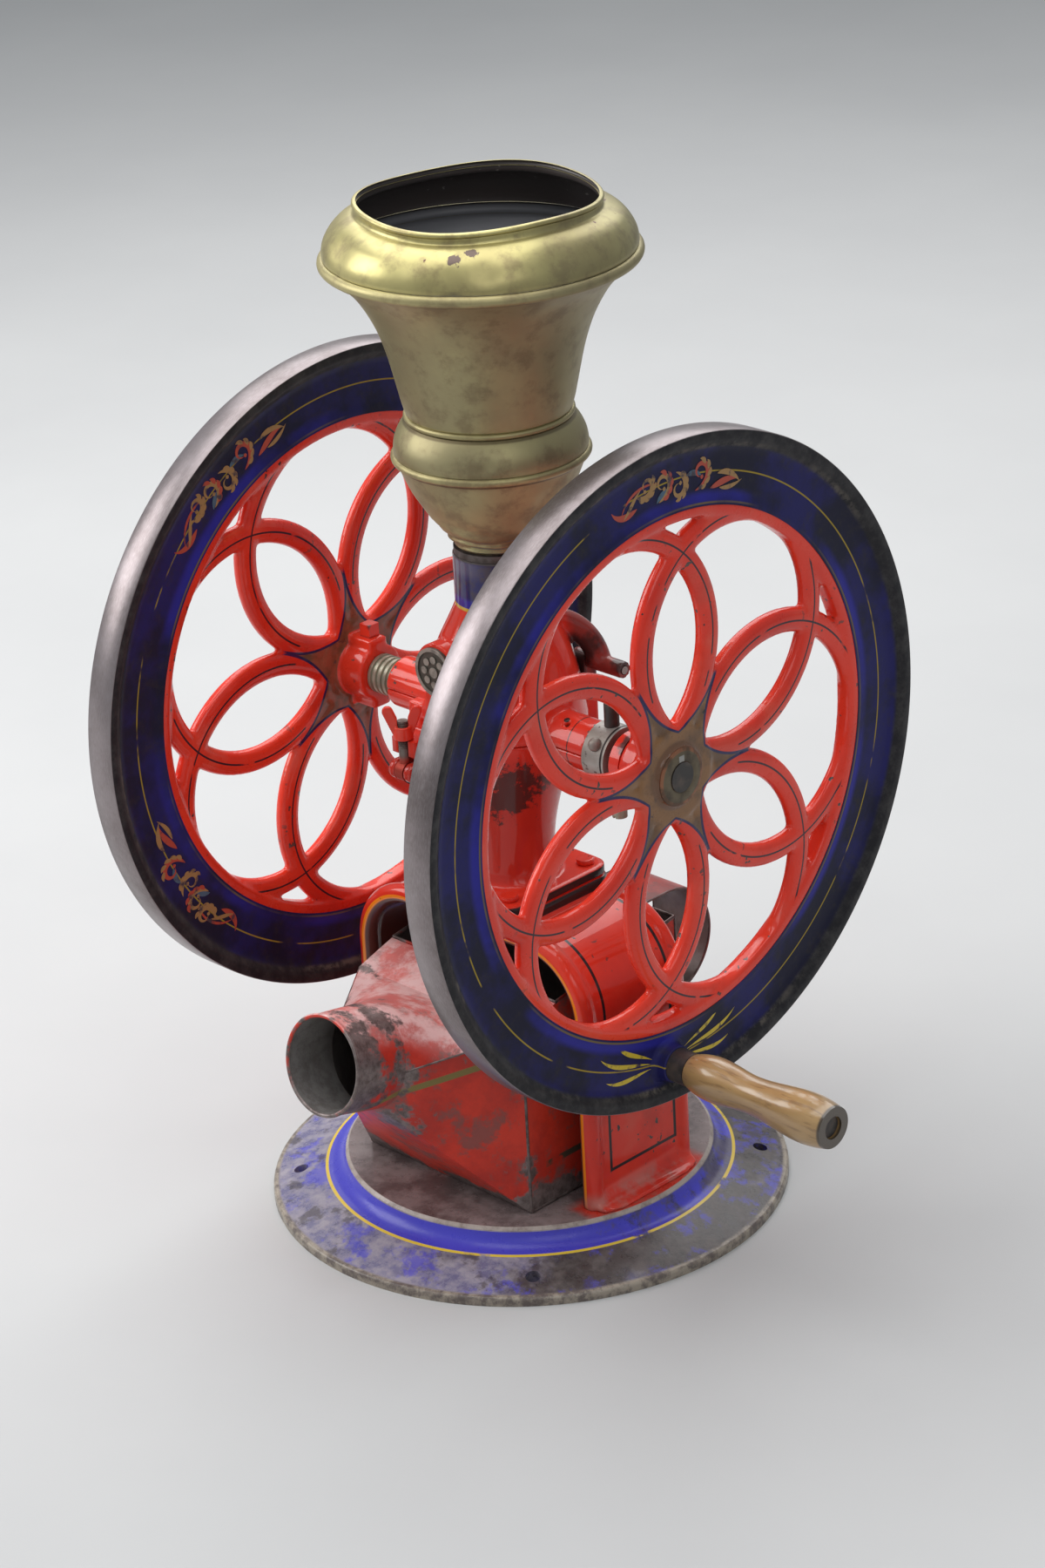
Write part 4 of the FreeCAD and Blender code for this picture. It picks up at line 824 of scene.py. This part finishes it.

# Hub caps. The turned end of each hub round the axle: a copper-coloured edge that is a painted highlight, a
# dull ring and a dark middle.
# The bright end of the key shows beside the axle.

EDGE_FROM = 19
KEY_OUT = 13.5
KEY_HALF = 2.6

hub_metal = dull_metal("hub_end_metal", 0.55, 70, (0.4, 0.66), (0.15, 0.12, 0.075), (0.08, 0.062, 0.045))
# Painted highlight: a copper-coloured sheen all round the edge of each hub end.
copper_edge_highlight = hub_metal.mottled(hub_metal.film, 0.42, 0.6, (0.3, 0.13, 0.07), (0.12, 0.07, 0.045))
hub_metal.paint(from_axle(hub_metal).above(EDGE_FROM, 0.5), copper_edge_highlight)
key_side = (hub_metal.z - axle.z) * hub_metal.x.math("SIGN")
hub_metal.paint(abs(hub_metal.y).below(KEY_HALF, 0.2) & key_side.band(KEY_OUT, 2.8, 0.3), (0.34, 0.33, 0.31))
filmed(hub_metal, bump=0.4)
hub_end = [
    (171.5, 11.3), (173.2, 11.3), (173.6, 12.2), (173.5, 16.8), (173.1, 18.6), (173.2, 20.4), (172.4, 21.6),
    (171.5, 21.6)]
for side, wheel in ((1, "near"), (-1, "far")):
    outline = [(side * along, reach) for along, reach in hub_end]
    piece(wheel + "_hub_end", lathe(outline, on_axle, steps=72), hub_metal, "rotor", "wheel_paint")

# Crank. A steel pin fixed in a boss of the near rim, with an iron ferrule against the boss.
# The turned wooden grip spins on the pin. It is varnished, and dark where hands have held it.

GRIP_TIP = 322.5

crank = joint_place("grip_spin")
boss = [
    (160, 5.6), (177.6, 5.6), (178, 6.2), (178, 13.0), (177.2, 13.8), (172, 14.2), (169.4, 15.6),
    (168.2, 18.4), (160, 18.4)]
boss_mesh = lathe(boss, Vector((0, crank.y, crank.z)), steps=72)
piece("crank_boss", boss_mesh, rim, "rotor", "wheel_paint", "near_flywheel")

wood = Finish("honey_wood", coat=0.8, coat_roughness=0.14)
swirl = wood.noise(26, 6, stretch=(0.16, 1, 1))
pores = wood.noise(420, 3, stretch=(0.06, 1, 1))
sweat = wood.noise(13, 4)
wood.colour = wood.mottled(swirl, 0.35, 0.65, (0.5, 0.315, 0.13), (0.31, 0.18, 0.07))
wood.paint(pores.step(0.52, 0.7) * 0.45, (0.14, 0.065, 0.025))
wood.paint(sweat.step(0.52, 0.74) * 0.55, (0.15, 0.085, 0.045))
wood.paint(wood.x.above(GRIP_TIP, 1), (0.06, 0.04, 0.022))
wood.finish(roughness=swirl.between(0.24, 0.42), bumps=[(pores, 0.2), (sweat, 1.2)])
dress(wood, "crank_grip")
dress(black_steel, "crank_ferrule", "crank_pin")

# Hopper. Three pieces spun from sheet brass and rolled together at their beads, with a ring at the neck.
# Old lacquer has gone olive, the inside is dark, and the shoulder has dents and small brown spots.

SHOULDER_FROM = 731.25
BEADS = (727, 613, 583)
CREASES = (722.2, 609.8, 579.2)
BROWN_SPOTS = ((57.5, -80.7, 753.7), (64, -69.7, 757))
NECK_TOP = 514.3
INNER_JOINT = 108.9

brass = Finish("old_brass")


def level_rings(heights, half, soft):
    """A mask of level rings round the hopper."""
    made = brass.z.band(heights[0], half, soft)
    for height in heights[1:]:
        made = made | brass.z.band(height, half, soft)
    return made


normal_x, normal_y, normal_z = brass.parts(brass.shape("Normal"))
outward = normal_x * brass.x + normal_y * brass.y + normal_z * 0.03
inner_joint = brass.x.hypot(brass.y).below(INNER_JOINT, 0.5) & brass.z.band(728, 6, 0.8)
within = outward.below(-3, 3) | inner_joint
haze = brass.noise(8, 5, rough=0.6)
mottle = brass.noise(45, 6, rough=0.65)
bright = brass.mottled(haze, 0.36, 0.66, (0.58, 0.52, 0.22), (0.42, 0.36, 0.16))
dulled = brass.mottled(haze, 0.36, 0.64, (0.46, 0.41, 0.21), (0.34, 0.295, 0.16))
dull_part = brass.z.below(SHOULDER_FROM, 1.75)
brass.colour = brass.mix(dull_part, bright, dulled)
brass.paint(level_rings(BEADS, 3.5, 1.2) * 0.4, (0.5, 0.43, 0.2))
brass.paint(mottle.step(0.47, 0.66) * 0.5, (0.19, 0.14, 0.08))
brass.paint(level_rings(CREASES, 1.1, 0.6) * 0.7, (0.1, 0.07, 0.04))
# Painted shade: the hopper is darker on its +x and +y side, the right-hand side as seen.
brass.paint((brass.x + brass.y).above(60, 40) * 0.5, (0.17, 0.14, 0.09))
spots = brass.noise(95, 3, shift=5.0).step(0.7, 0.73) & brass.z.above(733.5, 1.5)
brass.paint(spots, (0.12, 0.06, 0.05))
for place in BROWN_SPOTS:
    ragged = brass.distance(place) + brass.noise(300, 4) * 0.012
    brass.paint(ragged.below(10.15, 0.65), (0.13, 0.095, 0.08))
neck_rub = brass.z.below(527.5, 7.5) & mottle.step(0.4, 0.55)
brass.paint(neck_rub * 0.7, (0.24, 0.13, 0.07))
neck_grey = brass.mottled(mottle, 0.4, 0.6, (0.15, 0.13, 0.12), (0.08, 0.065, 0.058))
brass.paint(brass.z.below(NECK_TOP, 0.3), neck_grey)
crumbs = brass.noise(190, 2, shift=9.0).step(0.7, 0.74) * 0.6
shoulder_within = brass.mix(crumbs, (0.055, 0.044, 0.04), (0.3, 0.28, 0.25))
brass.paint(within, brass.mix(brass.z.above(729.25, 0.75), (0.16, 0.16, 0.17), shoulder_within))
brass.finish(
    roughness=dull_part * 0.12 + mottle.between(0.26, 0.5), metallic=within.between(0.72, 0.1),
    bumps=[(haze, 2.0), (mottle, 0.4)])

SHEET = 1.2
SPUN_STEPS = 144
# Each dent is an angle in radians, a height, a size and a depth.
DENTS = [
    (-0.75, 747, 9, 2.2), (-0.95, 742, 13, 2.0), (-1.3, 750, 10, 1.4), (-0.2, 752, 12, 1.6),
    (-1.9, 746, 14, 2.0), (-0.85, 594, 5, 1.3), (-0.15, 560, 7, 1.6), (-1.25, 660, 24, 1.0),
    (-0.4, 665, 22, -0.8), (1.6, 745, 16, 1.8), (2.6, 650, 26, 1.2), (2.2, 560, 9, 1.2)]
MOUTH_FROM = 752
MOUTH_RISE = 12
MOUTH_SAG = 1.6
MOUTH_WAVE = 0.9
FOLDS_FROM = 514
FOLDS_TO = 545
FOLD_DEPTH = 1.5


def smooth_profile(points, parts=5):
    """A curve through (radius, height) points, with short straight steps."""
    made = []
    padded = [points[0], *points, points[-1]]
    for index in range(1, len(padded) - 2):
        before, start, end, after = (Vector(padded[index + step]) for step in (-1, 0, 1, 2))
        for part in range(parts):
            t = part / parts
            made.append(0.5 * (
                2 * start + (end - before) * t + (2 * before - 5 * start + 4 * end - after) * t * t
                + (3 * start - before - 3 * end + after) * t ** 3))
    made.append(Vector(points[-1]))
    return [(point.x, point.y) for point in made]


def spun_sheet(part, profile):
    """Sheet spun to a profile: an outer and an inner skin, with the dents of use pressed in."""
    outer = [(height, radius) for radius, height in profile]
    inner = [(height, radius - SHEET) for radius, height in reversed(profile)]
    mesh = lathe(outer + inner, Vector((0, 0, 0)), "Z", SPUN_STEPS)
    for vertex in mesh.vertices:
        angle = math.atan2(vertex.co.y, vertex.co.x)
        radius = math.hypot(vertex.co.x, vertex.co.y) / MM
        height = vertex.co.z / MM
        sink = 0.0
        for dent_angle, dent_height, size, depth in DENTS:
            turn = (angle - dent_angle + math.pi) % (2 * math.pi) - math.pi
            away = math.hypot(turn * radius, height - dent_height) / size
            sink += depth * math.exp(-away * away)
        if height > MOUTH_FROM:
            rise = min((height - MOUTH_FROM) / MOUTH_RISE, 1.0)
            vertex.co.z += rise * MOUTH_SAG * MM * (math.cos(3 * angle + 0.8) - 1.0)
            sink += rise * MOUTH_WAVE * math.cos(4 * angle + 0.3)
        if FOLDS_FROM < height < FOLDS_TO:
            rise = (height - FOLDS_FROM) / (FOLDS_TO - FOLDS_FROM)
            sink += math.sin(math.pi * rise) * FOLD_DEPTH * math.sin(5 * angle + 9 * rise)
        vertex.co.x -= sink * MM * math.cos(angle)
        vertex.co.y -= sink * MM * math.sin(angle)
    piece("brass_" + part, mesh, brass, "frame", "brass", "hopper_" + part, sharp=55)


def half_round(out, height, size, count=8):
    """The outside of a half circle, from below to above, such as a rolled bead has."""
    angles = [math.pi * index / count - math.pi / 2 for index in range(count + 1)]
    return [(out + size * math.cos(angle), height + size * math.sin(angle)) for angle in angles]


top_bead, waist_bead, bowl_bead = BEADS
bowl = [
    (28, 497.2), (28, 505), (28, 514), (30.4, 516.5), (30.0, 519), (33.6, 522), (33.8, 525), (38.6, 528.6)]
bowl += [(28 + 41 * out, 514 + 69 * up) for out, up in ((0.47, 0.38), (0.75, 0.65), (0.95, 0.93))]
spun_sheet("bowl", smooth_profile(bowl) + half_round(68.4, bowl_bead, 3.0))
bulge = smooth_profile([(69, 586.2), (69.2, 590), (68.2, 596), (65.8, 602), (62.4, 607.5), (59.6, 610.6)])
flare = smooth_profile([(59, 615.4)] + [
    (59 + 51 * out, 613 + 114 * up)
    for out, up in ((0.05, 0.1), (0.1, 0.2), (0.22, 0.43), (0.38, 0.63), (0.63, 0.82), (0.95, 0.965))])
spun_sheet("bell", bulge + half_round(58.6, waist_bead, 2.2) + flare + half_round(109.4, top_bead, 4.3))
shoulder = smooth_profile([
    (110, 731.6), (110.2, 735), (108.6, 741.5), (104.2, 748.8), (97.6, 755.2), (90.5, 759.4), (86.2, 761.2),
    (85, 763.5), (85, 766)])
spun_sheet("shoulder", shoulder + half_round(84.4, 768, 1.9))
dress(brass, "neck_ring")

# Bin. A tinned sheet box with a hood that narrows to a round spout, folded and soldered at the edges.
# It slides in and out under the tunnel, drawn by a wide strap handle on its back wall.
# Its red paint is worn through on the corners, the spout and the floor.

BIN_MIDDLE = (0, -10 * MM, 131 * MM)
BIN_SIDE = 84.4
BIN_FRONT = -83.6
BIN_BACK = 79.4
BIN_FLOOR = 33.6
BIN_TOP = 212
RIM_FRONT = (-48, 192)
HOOD_FOOT = 180.4
HOOD_NOSE = (38.8, -157.2, 164.7)
HOOD_SLOPE = 0.22
HOOD_EDGE = 199.48
STRIPE_HALF = (2.6, 0.5)
HANDLE_SIDE = 29.2
HANDLE_RADIUS = 44.4
HANDLE_BACK = 132
HANDLE_HEIGHT = 151.5
HANDLE_FROM = 81

tin = Finish("tin_worn_red", specular=0.3)
patch = tin.noise(16, 7, rough=0.66)
grit = tin.noise(110, 5, rough=0.7)
facing = tin.shape("Normal")
from_middle = tin.node("ShaderNodeVectorMath", tin.place, BIN_MIDDLE, operation="SUBTRACT").outputs[0]
away = tin.node("ShaderNodeVectorMath", facing, from_middle, operation="DOT_PRODUCT").outputs["Value"]
within = Field(tin, away).below(-1.5, 1.5)
upward = tin.parts(facing)[2].step(0.4, 0.8)
tin.colour = tin.mottled(patch, 0.36, 0.62, (0.7, 0.046, 0.022), (0.46, 0.032, 0.02))
tin.paint(tin.noise(30, 8, rough=0.7, shift=3.0).step(0.5, 0.6) * 0.7, (0.15, 0.09, 0.08))
chalk_and_sheen = tin.noise(20, 8, rough=0.7, shift=8.0).step(0.4, 0.56).between(0.25, 0.95)
# Chalky dust and a painted sheen: pale pink on the upward faces towards the front of the bin.
tin.paint(upward & chalk_and_sheen & tin.y.below(-50, 10), (0.84, 0.57, 0.55))
handle = tin.y.above(HANDLE_FROM - 0.3, 0.5) & patch.step(0.35, 0.65).between(0.55, 0.9)
tin.paint(handle, (0.17, 0.07, 0.068))
from_hood_edge = tin.z - (tin.y * HOOD_SLOPE + HOOD_EDGE * MM)
hood_stripe = from_hood_edge.band(-15.5, *STRIPE_HALF) & tin.y.below(-87, 0.5)
box_stripe = tin.z.band(66, *STRIPE_HALF) & tin.y.above(-81, 0.5)
stripe = (hood_stripe | box_stripe) & tin.noise(30, 4, shift=6.0).step(0.63, 0.56)
tin.paint(stripe, tin.mix(tin.y.below(-87.5, 2.5), (0.08, 0.06, 0.04), (0.22, 0.17, 0.05)))
floor_wear = tin.z.below(45.5, 12.5)
corner_wear = tin.y.band(-84, 6, 6) * 0.5
spout_wear = tin.y.band(-158, 8, 8) | tin.y.below(-172.5, 7.5)
wear = patch + (floor_wear | corner_wear) * 0.2 + spout_wear * 0.125 + (grit - 0.5) * 0.3
worn = wear.step(0.59, 0.66)
tin.paint(worn, tin.mottled(grit, 0.35, 0.68, (0.26, 0.215, 0.205), (0.12, 0.092, 0.085)))
grey_tin = tin.mottled(patch, 0.38, 0.62, (0.22, 0.2, 0.19), (0.11, 0.09, 0.082))
spout_tin = tin.mottled(grit, 0.35, 0.65, (0.4, 0.375, 0.36), (0.27, 0.245, 0.23))
tin.paint(within, tin.mix(tin.y.below(-162.5, 12.5), grey_tin, spout_tin))
tin.finish(
    roughness=grit.between(0.26, 0.52), metallic=(worn | within) * 0.45, bumps=[(patch, 3.0), (grit, 0.3)])
dress(tin, "bin_box", "bin_hood", "bin_spout", "bin_handle")

tin_seam = dull_metal("tin_seam", 0.45, 90, (0.4, 0.62), (0.19, 0.15, 0.14), (0.08, 0.055, 0.05))
tin_seam.paint(tin_seam.noise(28, 4, shift=2.0).step(0.54, 0.62), (0.36, 0.035, 0.022))
filmed(tin_seam, bump=0.4)

fold, given, result = geometry_tree("folded_edge", Radius="NodeSocketFloat")
add = fold.nodes.new
line = add("GeometryNodeMeshToCurve")
section = add("GeometryNodeCurvePrimitiveCircle")
section.inputs["Resolution"].default_value = 10
tube = add("GeometryNodeCurveToMesh")
tube.inputs["Fill Caps"].default_value = True
link_up(fold, given, tube, result, [
    (given.outputs["Geometry"], line.inputs["Mesh"]), (given.outputs["Radius"], section.inputs["Radius"]),
    (line.outputs[0], tube.inputs["Curve"]), (section.outputs[0], tube.inputs["Profile Curve"])])


def folded_edge(name, radius, runs):
    """Rolled edges along runs of points, in millimetres."""
    vertices, edges = [], []
    for run in runs:
        first = len(vertices)
        vertices += [Vector(point) * MM for point in run]
        edges += [(first + step, first + step + 1) for step in range(len(run) - 1)]
    mesh = bpy.data.meshes.new(name)
    mesh.from_pydata(vertices, edges, [])
    made = grown(name, mesh, fold, tin_seam, Radius=radius * MM)
    piece(name, made, tin_seam, "bin", "tin_paint")


def both_sides(side, *points):
    """One run of (y, z) points on each side of the bin."""
    return [[(hand * side, *point) for point in points] for hand in (-1, 1)]


seams = both_sides(BIN_SIDE, (BIN_FRONT, BIN_FLOOR), (BIN_FRONT, HOOD_FOOT))
seams += both_sides(BIN_SIDE, (BIN_FRONT, BIN_FLOOR), (BIN_BACK - 0.2, BIN_FLOOR))
seams += both_sides(BIN_SIDE, (BIN_BACK, BIN_FLOOR), (BIN_BACK, BIN_TOP - 1))
folded_edge("bin_seams", 1.3, seams)
left, right = both_sides(BIN_SIDE, RIM_FRONT, (BIN_BACK, BIN_TOP))
folded_edge("bin_rim", 1.5, [left + right[::-1] + left[:1]])
folded_edge("hood_seams", 0.8, [
    [(hand * BIN_SIDE, BIN_FRONT - 0.2, HOOD_FOOT), (hand * HOOD_NOSE[0], *HOOD_NOSE[1:])]
    for hand in (-1, 1)])
strap = [
    (HANDLE_FROM, HANDLE_HEIGHT + HANDLE_RADIUS),
    *reversed(half_round(HANDLE_BACK, HANDLE_HEIGHT, HANDLE_RADIUS, 16)),
    (HANDLE_FROM, HANDLE_HEIGHT - HANDLE_RADIUS)]
folded_edge("handle_edges", 0.9, both_sides(HANDLE_SIDE, *strap))

# Floor, light and camera. A plain pale floor under the mill, soft light from above and from the sides,
# and the photo's own point of view.

FLOOR_REACH = 9
floor_mesh = bpy.data.meshes.new("floor")
floor_corners = [(FLOOR_REACH * x, FLOOR_REACH * y, 0) for x, y in ((-1, -1), (1, -1), (1, 1), (-1, 1))]
floor_mesh.from_pydata(floor_corners, [], [(0, 1, 2, 3)])
pale_floor = Finish("pale_floor", roughness=0.85, specular=0.2)
pale_floor.colour = pale_floor.mix(pale_floor.noise(2.2, 5), (0.5, 0.5, 0.5), (0.58, 0.58, 0.575))
pale_floor.finish()
floor_mesh.materials.append(pale_floor.material)
floor = placed("floor", floor_mesh)

world = bpy.data.worlds.new("studio")
bpy.context.scene.world = world
world.use_nodes = True
sky = world.node_tree.nodes["Background"].inputs
sky["Color"].default_value = (0.9, 0.95, 1.0, 1.0)
sky["Strength"].default_value = 0.4


def softbox(name, place, aim, size, power):
    light = bpy.data.lights.new(name, "AREA")
    light.shape = "RECTANGLE"
    light.size, light.size_y = size
    light.energy = power
    lamp = placed(name, light)
    lamp.location = place
    lamp.rotation_euler = (Vector(aim) - Vector(place)).to_track_quat("-Z", "Y").to_euler()


softbox("overhead", (-0.3, -0.2, 2.8), (0, 0, 0.35), (2.4, 2.4), 46)
softbox("left", (-2.0, -1.5, 1.7), (0, 0, 0.35), (1.6, 1.6), 42)
softbox("right", (2.2, -1.4, 2.3), (0, 0, 0.35), (1.4, 1.4), 10)
softbox("back", (-1.3, 1.4, 2.3), (0, 0, 0.3), (2.6, 2.0), 44)

eye = Vector((2.0234, -1.9541, 1.5940))
aim = Vector((0.0064, 0.0066, 0.3237))
roll = -0.0539
forward = (aim - eye).normalized()
right = forward.cross(Vector((0, 0, 1))).normalized()
up = right.cross(forward)
right, up = right * math.cos(roll) + up * math.sin(roll), up * math.cos(roll) - right * math.sin(roll)
lens = bpy.data.cameras.new("photo_view")
lens.sensor_fit = "VERTICAL"
lens.sensor_height = 36.0
lens.lens = 97.07
camera = placed("photo_view", lens)
facing = Matrix((right, up, -forward)).transposed().to_4x4()
camera.matrix_world = Matrix.Translation(eye) @ facing
bpy.context.scene.camera = camera
bpy.context.scene.view_settings.view_transform = "Standard"
